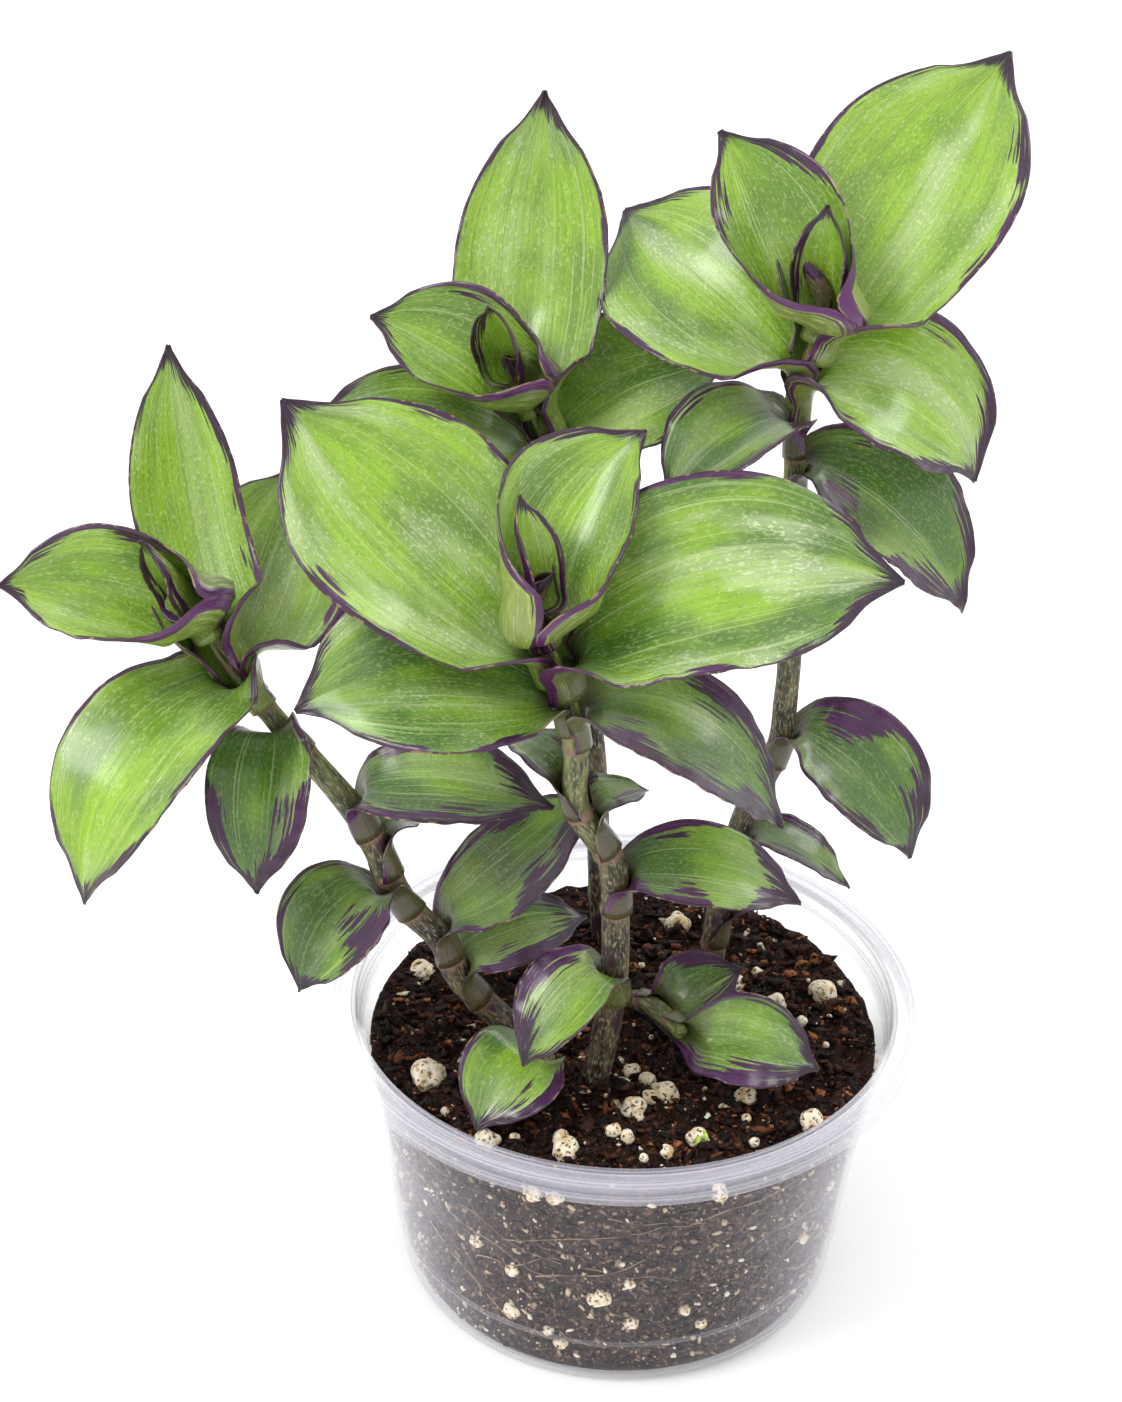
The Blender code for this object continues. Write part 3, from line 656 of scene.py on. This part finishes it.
CLASPING = dict(wrap=(135, 125), flare=1, unroll=9)
UPRIGHT = dict(wrap=(160, 150), flare=1, unroll=8)
CUP = dict(sheath=2, bend=5, unroll=4, widest=0.3, cup=(135, 45), wrap=(176, 176), flare=6)
ROLLED = dict(sheath=2, widest=0.35, wrap=(176, 176), clasp=0.5, flare=2, bands=(0.8, 0.8),
              tone=-0.1, bloom_and_painted_sheen=0.2)
OLD = dict(bands=(2.4, 4.5), tone=0.65, bloom_and_painted_sheen=0.3, blush=0.3, loose=-0.35)
OLD_LEFT = dict(OLD, bands=(5.0, 2.0))
LEAVES = [
    # left shoot
    Leaf("left_inner", "left", 145.5, 37, 118, 132, 24, 15, unroll=6, bend=5, cup=(120, 70), **ROLLED),
    Leaf("left_cup", "left", 143.8, 178, 32, 2, 39, 30, swing=18, roll=-45, loose=1.5, bands=(1.3, 1.3),
         **CUP),
    Leaf("left_upright", "left", 138, 112, 28, 95, 61, 22, attach=85, sheath=3.5, cup=(50, 25), roll=-10,
         loose=2.0, tone=-0.4, bands=(0.5, 1.6), **UPRIGHT),
    Leaf("left_low_right", "left", 132, 74, 29, 36, 50, 34, sheath=3, roll=14, twist=4,
         bands=(0.5, 2.2), tone=0.2, **CLASPING),
    Leaf("left_low_front", "left", 130, 230, 14, -82, 60, 32, sheath=3, bands=(1.8, 0.5), tone=0.05,
         **CLASPING),
    Leaf("left_hanging", "left", 121, 266, -5, -92, 41, 20, sheath=4, neck=3.5, wave=10, **OLD_LEFT),
    Leaf("left_mid_right", "left", 104, 350, 20, -15, 46, 22, neck=3.5, roll=20, **OLD),
    Leaf("left_mid_left", "left", 87, 220, -5, -72, 34, 24, neck=3.5, roll=-10, **OLD_LEFT),
    Leaf("left_small", "left", 95, 40, 0, -30, 17, 11, neck=3, **OLD),
    Leaf("left_low_cross", "left", 76, 10, 28, 58, 47, 22, neck=3.5, roll=25, **OLD),
    Leaf("left_foot", "left", 66, 20, 30, -10, 35, 19, neck=3.5, roll=20, **OLD),
    # front shoot
    Leaf("front_inner", "front", 159, 127, 93, 78, 25, 15, roll=20, unroll=4, bend=3, cup=(120, 70),
         **ROLLED),
    Leaf("front_cup", "front", 155.5, 80, 60, 32, 43, 34, swing=-62, roll=28, loose=1, bands=(1.2, 1.4),
         **CUP),
    Leaf("front_left", "front", 149, 160, 38, 42, 67, 42, widest=0.48, sheath=4, cup=(45, 20),
         roll=-26, twist=-28, loose=1.8, bands=(1.4, 0.9), bloom_and_painted_sheen=0.9, **CLASPING),
    Leaf("front_right", "front", 145.5, 8, 40, -18, 69, 40, sheath=4, cup=(45, 20),
         roll=28, twist=20, loose=1.8, bands=(1.1, 1.5), tone=0.35, bloom_and_painted_sheen=1.0, **CLASPING),
    Leaf("front_low_left", "front", 137.5, 190, 40, -32, 55, 36, sheath=3.5, roll=-25, twist=-20,
         bands=(1.2, 1.2), tone=0.5, wrap=(80, 75), unroll=8),
    Leaf("front_low_right", "front", 134, 352, 5, -62, 51, 30, sheath=3.5, roll=8, bands=(4.0, 7.5),
         tone=0.5, bloom_and_painted_sheen=0.4, blush=0.2, wrap=(80, 75), unroll=8),
    Leaf("front_node_left", "front", 119, 130, 20, -20, 24, 12, neck=3, **OLD),
    Leaf("front_node_right", "front", 110, 30, 20, -20, 20, 12, neck=3, **OLD),
    Leaf("front_mid_right", "front", 96, 0, 15, -35, 42, 19, neck=3.5, roll=25, **OLD),
    Leaf("front_foot", "front", 74, 220, -10, -60, 33, 20, neck=3.5, bands=(1.2, 5.0), tone=0.45,
         bloom_and_painted_sheen=0.4),
    Leaf("sprout", "sprout", 54.5, 232, 5, -45, 28, 21, sheath=4, neck=2.5, roll=-15, loose=0.35,
         bands=(4.0, 1.0), tone=0.45, bloom_and_painted_sheen=0.4),
    # back shoot
    Leaf("back_inner", "back", 183, 57, 112, 130, 23, 15, unroll=6, bend=5, cup=(120, 70), **ROLLED),
    Leaf("back_cup", "back", 179.5, 165, 47, 10, 34, 29, swing=10, roll=-42, loose=1.1, bands=(1.1, 1.3),
         **CUP),
    Leaf("back_upright", "back", 174.5, 85, 32, 98, 64, 32, sheath=4, cup=(50, 25), roll=-12, loose=2.1,
         bands=(0.6, 1.0), **UPRIGHT),
    Leaf("back_low_right", "back", 166, 22, 45, -8, 42, 32, sheath=3.5, roll=18, twist=20, tone=0.3,
         **CLASPING),
    Leaf("back_low_left", "back", 161, 190, 42, -12, 55, 26, sheath=4, roll=-8, twist=-25, tone=0.3,
         **CLASPING),
    # right shoot
    Leaf("right_inner", "right", 200, 60, 106, 98, 24.5, 15, unroll=5, bend=3, cup=(110, 70), **ROLLED),
    Leaf("right_cup", "right", 197.8, 142, 66, 40, 40, 30, roll=-42, loose=1.2, bands=(1.6, 1.4), **CUP),
    Leaf("right_upright", "right", 194.5, 47, 42, 37, 67, 40, sheath=3.5, cup=(50, 20), roll=26,
         loose=2.2, tone=-0.15, bloom_and_painted_sheen=0.8, bands=(0.9, 1.8), **UPRIGHT),
    Leaf("right_low_left", "right", 184.5, 153, 34, 2, 58, 38, attach=178, sheath=4, swing=-42,
         roll=-22, twist=-22, bloom_and_painted_sheen=0.8, tone=0.15, **CLASPING),
    Leaf("right_low_right", "right", 181.5, 357, 22, -78, 48, 32, sheath=4, roll=25, twist=20, wave=12,
         bands=(2.4, 2.4), tone=0.1, bloom_and_painted_sheen=0.8, **CLASPING),
    Leaf("right_mid_left", "right", 175, 208, 5, -55, 36, 28, sheath=4, neck=4, **OLD_LEFT),
    Leaf("right_mid_right", "right", 165, 350, -10, -72, 52, 27, neck=3.5, roll=30, wave=10, **OLD),
    Leaf("right_low_hang", "right", 110, 335, 0, -80, 44, 23, neck=3.5, roll=30, **OLD_LEFT),
    Leaf("right_low_small", "right", 86, 348, 0, -50, 31, 14, neck=3, **OLD),
    Leaf("right_foot", "right", 68, 30, 20, -15, 20, 12, neck=3, **OLD),
    # rear left shoot
    Leaf("rear_left_a", "rear_left", 116, 160, 50, 30, 30, 18, sheath=4, neck=3.5, **OLD),
    Leaf("rear_left_b", "rear_left", 124.5, 60, 50, 20, 24, 14, sheath=3, neck=3, **OLD),
    Leaf("rear_left_c", "rear_left", 104, 10, 10, -40, 24, 12, neck=3, **OLD),
    # side shoot
    Leaf("side_back", "side", 59, 18, 45, 10, 24, 17, sheath=4, neck=3, roll=20, **OLD),
    Leaf("side_tip", "side", 62.9, 352, 15, -30, 32, 20, sheath=4, neck=3, roll=30, bands=(1.5, 6.0),
         tone=0.45, bloom_and_painted_sheen=0.4),
]


# Stem bark: dull skin, purple-brown near the soil and olive higher up, with fine pale scaly streaks along
# it and pinkish joint rings. Its grain is drawn out to about three times its width along the stem.
stem_bark, tree, shader = new_material("stem_bark", Roughness=0.5)
around, lengthwise, joint = read_attribute(tree, "stem_place")
height = read_attribute(tree, "stem_height")[0]
drawn_out = add(tree, "Math", {"operation": "MULTIPLY"}, {0: lengthwise, 1: 0.3})
streaks = add(tree, "CombineXYZ", {}, {0: around, 1: drawn_out})
green = flecked(tree, "#5C6A2C", "#98A458", streaks, 0.5, 0.40, 0.62)
brown = flecked(tree, "#2A1E1A", "#665A40", streaks, 0.5, 0.40, 0.62)
high_up = add(tree, "MapRange", {}, {"Value": height, "From Min": 0.5, "From Max": 0.95})
colour = layered(tree, brown, green, high_up)
colour = layered(tree, colour, "#B4B798", speckled(tree, streaks, 2.2, 0.50, 0.66, 4.0), 0.55)
colour = flecked(tree, colour, "#3A2030", streaks, 0.25, 0.56, 0.66)
colour = layered(tree, colour, "#8E6A5C", joint)
feed(tree, shader, {"Base Color": colour})
roughen(tree, shader, streaks, pace=2.0, detail=4.0, strength=1.0, depth=0.35)

RING_SPACING = 0.9
JOINT_LENGTH = 0.9
JOINT_SWELL = 0.12
for stem in STEMS.values():
    joints = [stem.along_at_height(leaf.height) for leaf in LEAVES if leaf.stem == stem.name]
    stations = np.arange(0.0, stem.along[-1], RING_SPACING)
    near = np.array([max([math.exp(-((d - j) / JOINT_LENGTH) ** 2) for j in joints]) for d in stations])
    points = np.array([stem.at_along(d) for d in stations])
    radii = np.array([stem.radius(d) for d in stations])
    uneven = np.array([1 + 0.05 * noise.noise(Vector((d / 6, stem.foot_radius, 0))) for d in stations])
    grid = tube_grid(points, radii * uneven * (1 + JOINT_SWELL * near), RING_SIDES)
    mesh = tube_mesh("stem_" + stem.name, grid)
    around = np.linspace(0, 2 * math.pi * stem.foot_radius, RING_SIDES)
    place = np.zeros((len(stations), RING_SIDES, 3))
    place[..., 0] = around + 40 * stem.foot_radius
    place[..., 1] = stations[:, None]
    place[..., 2] = near[:, None]
    write_attribute(mesh, "stem_place", place)
    height = np.zeros((len(stations), RING_SIDES, 3))
    height[..., 0] = (stations / stem.along[-1])[:, None]
    write_attribute(mesh, "stem_height", height)
    dress("bark_" + stem.name, mesh, [stem_bark], "stem", "stem_" + stem.name)


# Leaves. Thick, waxy, pointed leaves, each with a short sheath round its stem. The green is silvered
# between parallel veins, partly by a wax bloom and partly by painted sheen, darkened towards the stem by
# painted shade and sprinkled with pale dots, and the margin is stained purple with streaks of painted
# highlight.

LEAF_THICKNESS = 0.65
EDGE_TAPER = 1.4
SHEATH_CLEARANCE = 0.43
KEEL = 5.0
WAVES = 2.5
TIP_HALF_WIDTH = 0.35
FLARE_REACH = 6.0
BLADE_ROWS = 54
BLADE_COLUMNS = 24
VEIN_SPACING = 1.0
# Sizes of the skin's broad dents, of the crimp along its margins and of the bands' wide stretches
DENT_LENGTH = 9.0
DENT_DEPTH = 0.35
CRIMP_LENGTH = 3.2
CRIMP_REACH = 2.0
BAND_STRETCH = 11.0


def blade_outline(leaf, blade, sheath_width, past_sheath):
    """Half the leaf's width along its length, drawn out to a narrow tip."""
    half = leaf.width / 2
    neck = sheath_width[-1] if leaf.neck is None else leaf.neck
    swell = np.sin(np.clip(blade / leaf.widest, 0, 1) * math.pi / 2)
    narrow = np.clip((blade - leaf.widest) / (1 - leaf.widest), 0, 1)
    outline = (neck + (half - neck) * swell) * np.cos(narrow ** 1.2 * math.pi / 2)
    outline = outline * (1 - 0.2 * np.sin(np.clip((blade - 0.84) / 0.16, 0, 1) * math.pi))
    settle = smoothstep((past_sheath - leaf.clasp) / 4.0)
    return np.maximum(sheath_width * (1 - settle) + outline * settle, TIP_HALF_WIDTH)


def leaf_surface(leaf, stem):
    """The inner face as (rows, columns, xyz) in mm, its stations along, and half its width there."""
    foot = stem.along_at_height(leaf.height)
    axis = unit(stem.at_along(foot + leaf.sheath) - stem.at_along(foot))
    sheath_radius = (stem.radius(foot) + SHEATH_CLEARANCE) / math.cos(math.pi / STEM_SIDES) + leaf.loose
    heading = math.radians(leaf.azimuth if leaf.attach is None else leaf.attach)
    out = np.array([math.cos(heading), math.sin(heading), 0.0])
    out = unit(out - axis * out.dot(axis))
    skyward = np.array([0.0, 0.0, 1.0])

    fine = np.linspace(0.0, leaf.length, 161)
    step = fine[1]
    past_sheath = fine - leaf.sheath
    blade = np.clip(past_sheath / (leaf.length - leaf.sheath), 0.0, 1.0)
    turned_out = smoothstep(past_sheath / leaf.bend)[:, None]

    pitch = np.radians(leaf.rise + (leaf.droop - leaf.rise) * blade)[:, None]
    course = np.radians(leaf.azimuth + leaf.swing * blade)[:, None]
    level = np.hstack([np.cos(course), np.sin(course), np.zeros_like(course)])
    ahead = level * np.cos(pitch) + skyward * np.sin(pitch)
    ahead = unit(axis * (1 - turned_out) + ahead * turned_out)
    path = np.vstack([np.zeros(3), np.cumsum((ahead[1:] + ahead[:-1]) * 0.5 * step, axis=0)])
    path = path + stem.at_along(foot) + out * sheath_radius

    side = np.cross(axis, out) * (1 - turned_out) + np.cross(skyward, level) * turned_out
    side = unit(side - ahead * np.sum(side * ahead, axis=1, keepdims=True))
    up = np.cross(ahead, side)
    lean = np.radians(leaf.roll * turned_out[:, 0] + leaf.twist * blade)[:, None]
    side, up = side * np.cos(lean) + up * np.sin(lean), up * np.cos(lean) - side * np.sin(lean)

    sheath_share = np.clip(fine / leaf.sheath, 0, 1)
    wrap = np.radians(leaf.wrap[0] + (leaf.wrap[1] - leaf.wrap[0]) * sheath_share)
    ring_radius = sheath_radius + leaf.flare * smoothstep(past_sheath / FLARE_REACH)
    half_width = blade_outline(leaf, blade, ring_radius * wrap, past_sheath)

    opened = smoothstep((past_sheath - leaf.clasp) / leaf.unroll)
    cup = np.radians(leaf.cup[1] + (leaf.cup[0] - leaf.cup[1]) * (1 - blade) ** 2)
    bow = (1 - opened) / ring_radius + cup / (leaf.width / 2) * opened
    bow = np.minimum(bow, wrap[0] / half_width)

    across = np.linspace(0.0, 1.0, 25)
    rim = smoothstep(2 * across - 1)
    shares = np.linspace(-1.0, 1.0, BLADE_COLUMNS + 1)
    stations = np.concatenate([np.linspace(0, leaf.sheath, 4),
                               np.linspace(leaf.sheath + 1, leaf.length, BLADE_ROWS)])
    picks = [int(round(s / step)) for s in stations]
    grid = np.zeros((len(stations), BLADE_COLUMNS + 1, 3))
    for i, k in enumerate(picks):
        for sign in (-1.0, 1.0):
            ripple = leaf.wave * math.sin(2 * math.pi * WAVES * blade[k] + sign)
            slope = bow[k] * half_width[k] * across
            slope = slope + opened[k] * (math.radians(KEEL) + math.radians(ripple) * rim)
            mid_slope = (slope[1:] + slope[:-1]) / 2
            run = np.concatenate([[0.0], np.cumsum(np.cos(mid_slope))])
            lift = np.concatenate([[0.0], np.cumsum(np.sin(mid_slope))])
            mine = shares * sign >= 0
            scale = half_width[k] / (len(across) - 1)
            x = np.interp(abs(shares[mine]), across, run)[:, None] * scale
            y = np.interp(abs(shares[mine]), across, lift)[:, None] * scale
            grid[i, mine] = path[k] + side[k] * sign * x + up[k] * y
    return grid, stations, shares, half_width[picks], opened[picks]


def leaf_normals(grid):
    """Unit directions square to a grid of points, towards the inner face."""
    return unit(np.cross(np.gradient(grid, axis=0), np.gradient(grid, axis=1)) + 1e-9)


def leaf_piece(leaf, seed):
    """A thick leaf with its inner face in the first material and its back in the second.

    Its skin is uneven in broad dents and crimped near its margins. Its purple bands vary in width along
    the leaf, and are wider towards the tip, at the very tip and where the leaf opens.
    """
    grid, stations, shares, half_width, opened = leaf_surface(leaf, STEMS[leaf.stem])
    rows, columns = grid.shape[:2]
    edge_away = half_width[:, None] * (1 - abs(shares))
    pucker = np.zeros((rows, columns))
    bands = np.zeros((rows, columns))
    for i, station in enumerate(stations):
        late = (station / leaf.length) ** 1.5
        for j, share in enumerate(shares):
            hand = 1 if share >= 0 else 0
            broad = noise.noise(Vector((station / DENT_LENGTH, share * 1.5, seed)))
            crimp = noise.noise(Vector((station / CRIMP_LENGTH, hand * 7.0, seed + 5)))
            curl = (0.4 + 0.5 * leaf.tone) * crimp * math.exp(-edge_away[i, j] / CRIMP_REACH)
            pucker[i, j] = opened[i] * (DENT_DEPTH * broad + curl)
            sweep = noise.noise(Vector((station / BAND_STRETCH, hand * 9.0, seed + 30)))
            width = leaf.bands[0] if share >= 0 else leaf.bands[1]
            swell = min(leaf.flare, 1.6) * math.exp(-max(station - leaf.sheath - 4, 0) / 13)
            tip = 0.05 * leaf.length * float(smoothstep((station / leaf.length - 0.9) / 0.1))
            stain = width * (0.35 + 2.2 * sweep + late) * (0.25 + 0.75 * opened[i])
            bands[i, j] = max(stain + swell + tip, 0.05)
    grid = grid + leaf_normals(grid) * pucker[..., None]
    thickness = LEAF_THICKNESS * (0.4 + 0.6 * smoothstep(edge_away / EDGE_TAPER))
    thickness = thickness * (0.45 + 0.55 * smoothstep((stations - leaf.sheath) / FLARE_REACH))[:, None]
    back = grid - leaf_normals(grid) * thickness[..., None]

    points = np.vstack([grid.reshape(-1, 3), back.reshape(-1, 3)]) * MM
    under = rows * columns
    faces, backs = [], []
    for i in range(rows - 1):
        for j in range(columns - 1):
            a, b = i * columns + j, (i + 1) * columns + j
            faces.append((a, b, b + 1, a + 1))
            backs.append((under + a, under + a + 1, under + b + 1, under + b))
    loop = list(range(columns))
    loop += [i * columns + columns - 1 for i in range(1, rows)]
    loop += [(rows - 1) * columns + j for j in range(columns - 2, -1, -1)]
    loop += [i * columns for i in range(rows - 2, 0, -1)]
    rims = [(a, b, under + b, under + a) for a, b in zip(loop, loop[1:] + loop[:1])]
    mesh = bpy.data.meshes.new("blade_" + leaf.name)
    mesh.from_pydata(points.tolist(), [], faces + backs + rims)
    indices = [0] * len(faces) + [1] * (len(backs) + len(rims))
    mesh.polygons.foreach_set("material_index", indices)

    place = np.zeros((2, rows, columns, 3))
    place[..., 0] = shares * leaf.width / 2 / VEIN_SPACING
    place[..., 1] = stations[:, None]
    place[..., 2] = seed * 13.7
    write_attribute(mesh, "leaf_place", place)
    rim = np.zeros((2, rows, columns, 3))
    rim[..., 0] = edge_away
    rim[..., 1] = bands
    rim[..., 2] = stations[:, None] / leaf.length
    write_attribute(mesh, "leaf_rim", rim)
    look = np.zeros((2, rows, columns, 3))
    look[...] = (leaf.tone, leaf.bloom_and_painted_sheen, leaf.blush)
    write_attribute(mesh, "leaf_look", look)
    return mesh


def waxy_leaf(name, fresh, deep, bloom_and_painted_sheen, violet, stain_share):
    """Waxy leaf skin: fine lines and dashes of wax along the leaf, and a purple stain in from its margin.

    Its patterns are paced across the leaf by its veins, and along it by millimetres. stain_share is how
    much of the margin's band the stain keeps on this face.
    """
    mat, tree, shader = new_material(name, Roughness=0.38, IOR=1.45, Coat_Weight=0.5, Coat_Roughness=0.2)
    place = add(tree, "Attribute", {"attribute_name": "leaf_place"}).outputs["Vector"]
    lengthwise = add(tree, "SeparateXYZ", {}, {0: place}).outputs[1]
    rim, band, late = read_attribute(tree, "leaf_rim")
    tone, bloom_and_sheen_share, blush = read_attribute(tree, "leaf_look")

    def streaks(across_pace, length_pace, low, high, detail=2.0):
        coords = add(tree, "VectorMath", {"operation": "MULTIPLY"},
                     {0: place, 1: (across_pace, length_pace, 1.0)})
        return speckled(tree, coords, 1.0, low, high, detail)

    # Green: fresher and deeper zones, and deeper in lines along the leaf. Towards the stem the deep green
    # is painted shade in the leaf's trough.
    zones = add(tree, "Math", {"operation": "ADD"}, {0: streaks(0.09, 0.05, 0.3, 0.7), 1: 0.35})
    freshness = add(tree, "Math", {"operation": "SUBTRACT", "use_clamp": True}, {0: zones, 1: tone})
    colour = layered(tree, deep, fresh, freshness)
    # Painted shade: deep green laid over the part of the leaf nearest the stem
    painted_stem_shade = add(tree, "MapRange", SOFT, {"Value": late, "From Min": 0.35, "From Max": 0.05})
    colour = layered(tree, colour, deep, painted_stem_shade, 0.4)
    colour = layered(tree, colour, deep, streaks(0.8, 0.03, 0.45, 0.65, 1.0), 0.25)
    colour = layered(tree, colour, "#E0EFB0", streaks(2.2, 0.02, 0.62, 0.69, 1.0), 0.30)

    # Wax: dark and pale dashes, and a silver glaze in broad streaks that the dashes break up. The glaze is
    # partly a wax bloom and partly painted sheen, pale where light would glance off the wax.
    dashes = streaks(2.4, 1.1, 0.52, 0.62)
    colour = layered(tree, colour, deep, streaks(2.0, 0.8, 0.52, 0.62), 0.22)
    dots = add(tree, "Math", {"operation": "MULTIPLY_ADD"}, {0: tone, 1: -0.2, 2: 0.3})
    colour = layered(tree, colour, "#CFE68F", dashes, dots)
    broken = add(tree, "Math", {"operation": "MULTIPLY_ADD"}, {0: dashes, 1: 0.5, 2: 0.45})
    # Painted sheen: the pale silver glaze stands partly for light glancing off the wax
    bloom_and_sheen_mask = add(tree, "Math", {"operation": "MULTIPLY"},
                {0: streaks(0.11, 0.035, 0.46, 0.72, 4.0), 1: bloom_and_sheen_share})
    colour = layered(tree, colour, bloom_and_painted_sheen, bloom_and_sheen_mask, broken)
    colour = layered(tree, colour, violet, blush, streaks(0.2, 0.03, 0.1, 0.7))

    # The foot of an old leaf, where its sheath dries and turns brown
    foot = add(tree, "MapRange", SOFT, {"Value": lengthwise, "From Min": 12.0, "From Max": 7.0,
                                        "To Max": 1.2})
    colour = layered(tree, colour, "#46362A", foot, tone)

    # Purple stain: a frayed band in from the margin, darker towards the tip, with a thin dry edge line.
    # Its pale lavender streaks are painted highlight.
    frayed = add(tree, "Math", {"operation": "MULTIPLY_ADD"},
                 {0: streaks(1.3, 0.08, 0.25, 0.75, 4.0), 1: 1.7, 2: 0.15})
    reach = add(tree, "Math", {"operation": "MULTIPLY"}, {0: band, 1: frayed})
    reach = add(tree, "Math", {"operation": "MULTIPLY"}, {0: reach, 1: stain_share})
    inside = add(tree, "Math", {"operation": "SUBTRACT"}, {0: reach, 1: rim})
    stain = add(tree, "MapRange", SOFT, {"Value": inside, "From Min": -0.3, "From Max": 0.3})
    purple = layered(tree, "#560E5A", "#2A0D2C", late)
    # Painted highlight: pale lavender streaks over the purple
    purple = layered(tree, purple, "#6C4470", streaks(1.4, 0.10, 0.50, 0.72, 3.0), 0.3)
    purple = layered(tree, purple, "#1F0C18", streaks(0.35, 0.09, 0.48, 0.62, 3.0), 0.6)
    colour = layered(tree, colour, purple, stain)
    line = add(tree, "MapRange", SOFT, {"Value": rim, "From Min": 0.35, "From Max": 0.12})
    edging = layered(tree, "#3C2230", "#8E7A52", streaks(0.3, 0.5, 0.56, 0.62))
    colour = layered(tree, colour, edging, line, 0.85)
    feed(tree, shader, {"Base Color": colour})

    ribs = add(tree, "Math", {"operation": "MULTIPLY_ADD"},
               {0: dashes, 1: 0.5, 2: streaks(1.1, 0.04, 0.2, 0.8)})
    bump = add(tree, "Bump", {}, {"Height": ribs, "Strength": 0.8, "Distance": 0.18 * MM})
    feed(tree, shader, {"Normal": bump})
    return mat


# The inner face is a fresh green with a silver bloom, partly wax and partly painted sheen, and the back
# is duller, paler and more violet
leaf_face = waxy_leaf("waxy_leaf_face", "#93C01A", "#437010", "#E0EEC0", "#5A4A58", 1.0)
leaf_back = waxy_leaf("waxy_leaf_back", "#8CAA34", "#566D24", "#A8B47A", "#742F5C", 1.2)

# A leaf that sits less than this below its stem's tip is a young one
YOUNG_REACH = 24.0
for number, leaf in enumerate(LEAVES):
    below_tip = STEMS[leaf.stem].line[-1][2] - leaf.height
    slot = "young_leaf" if below_tip < YOUNG_REACH else "old_leaf"
    mesh = leaf_piece(leaf, number + 1.0)
    dress("blade_" + leaf.name, mesh, [leaf_face, leaf_back], slot, "leaf_" + leaf.name)

# Buds: the youngest leaves, still rolled tight and dark violet, in the middle of each rosette
BUD = dict(sheath=1, bend=2, unroll=3, widest=0.4, wrap=(160, 150), cup=(170, 130), loose=-0.6,
           bands=(3.2, 3.2), tone=0.3, bloom_and_painted_sheen=0.0, blush=0.7)
BUDS = [
    Leaf("left_bud", "left", 146.5, 217, 64, 58, 10, 7, **BUD),
    Leaf("front_bud", "front", 160.0, 350, 76, 70, 11, 8, **BUD),
    Leaf("back_bud", "back", 183.5, 237, 68, 60, 10, 7, **BUD),
    Leaf("right_bud", "right", 201.0, 160, 70, 60, 14, 9, **BUD),
]
for number, leaf in enumerate(BUDS):
    mesh = leaf_piece(leaf, number + 60.0)
    dress(leaf.name, mesh, [leaf_face, leaf_back], "young_leaf")


# Studio. A plain white table and soft white light from all round, a little stronger from the left.
# The table glows very faintly, so that it stays white under the pot as it does in the photo.

TABLE_DROP = 0.2
studio_white, _, _ = new_material("studio_white", Base_Color="#F8F8F8", Roughness=0.9,
                                  Emission_Color="#FFFFFF", Emission_Strength=0.1)
bm = bmesh.new()
bmesh.ops.create_grid(bm, x_segments=1, y_segments=1, size=4.0)
table = bpy.data.meshes.new("table_top")
bm.to_mesh(table)
bm.free()
floor = bpy.data.objects.new("table_top", table)
floor.location.z = -TABLE_DROP * MM
floor.data.materials.append(studio_white)
bpy.context.scene.collection.objects.link(floor)

world = bpy.data.worlds.new("white_room")
world.use_nodes = True
world.node_tree.nodes["Background"].inputs["Color"].default_value = (1.0, 1.0, 1.0, 1.0)
world.node_tree.nodes["Background"].inputs["Strength"].default_value = 1.0
bpy.context.scene.world = world
bpy.context.scene.view_settings.view_transform = "Standard"


PLANT_MIDDLE = Vector((0, 0, 0.12))


def softbox(name, place, size, watts):
    """A square area light that faces the middle of the plant."""
    lamp = bpy.data.lights.new(name, "AREA")
    lamp.shape = "SQUARE"
    lamp.size = size
    lamp.energy = watts
    item = bpy.data.objects.new(name, lamp)
    item.location = place
    item.rotation_euler = (PLANT_MIDDLE - Vector(place)).to_track_quat("-Z", "Y").to_euler()
    bpy.context.scene.collection.objects.link(item)


softbox("softbox_left", (-0.8, -0.4, 1.2), 0.5, 10.0)
softbox("softbox_right", (0.8, 0.5, 1.1), 0.5, 5.0)

# The camera stands in front of the tub, a little to its left, and looks down on it
CAMERA_PLACE = (-13.7, -446.0, 400.3)
CAMERA_DOWN = math.radians(31.23)
CAMERA_ROLL = math.radians(1.16)
PHOTO_HEIGHT = 1402
PHOTO_FOCUS = 2800
SENSOR = 36.0
ahead = Vector((0.0, math.cos(CAMERA_DOWN), -math.sin(CAMERA_DOWN)))
across = Vector((1.0, 0.0, 0.0))
upward = across.cross(ahead)
right = across * math.cos(CAMERA_ROLL) + upward * math.sin(CAMERA_ROLL)
upward = upward * math.cos(CAMERA_ROLL) - across * math.sin(CAMERA_ROLL)
lens = bpy.data.cameras.new("camera")
lens.sensor_fit = "VERTICAL"
lens.sensor_height = SENSOR
lens.lens = SENSOR * PHOTO_FOCUS / PHOTO_HEIGHT
lens.clip_start = 0.01
camera = bpy.data.objects.new("camera", lens)
turn = Matrix((right, upward, -ahead)).transposed().to_4x4()
camera.matrix_world = Matrix.Translation(Vector(CAMERA_PLACE) * MM) @ turn
bpy.context.scene.collection.objects.link(camera)
bpy.context.scene.camera = camera
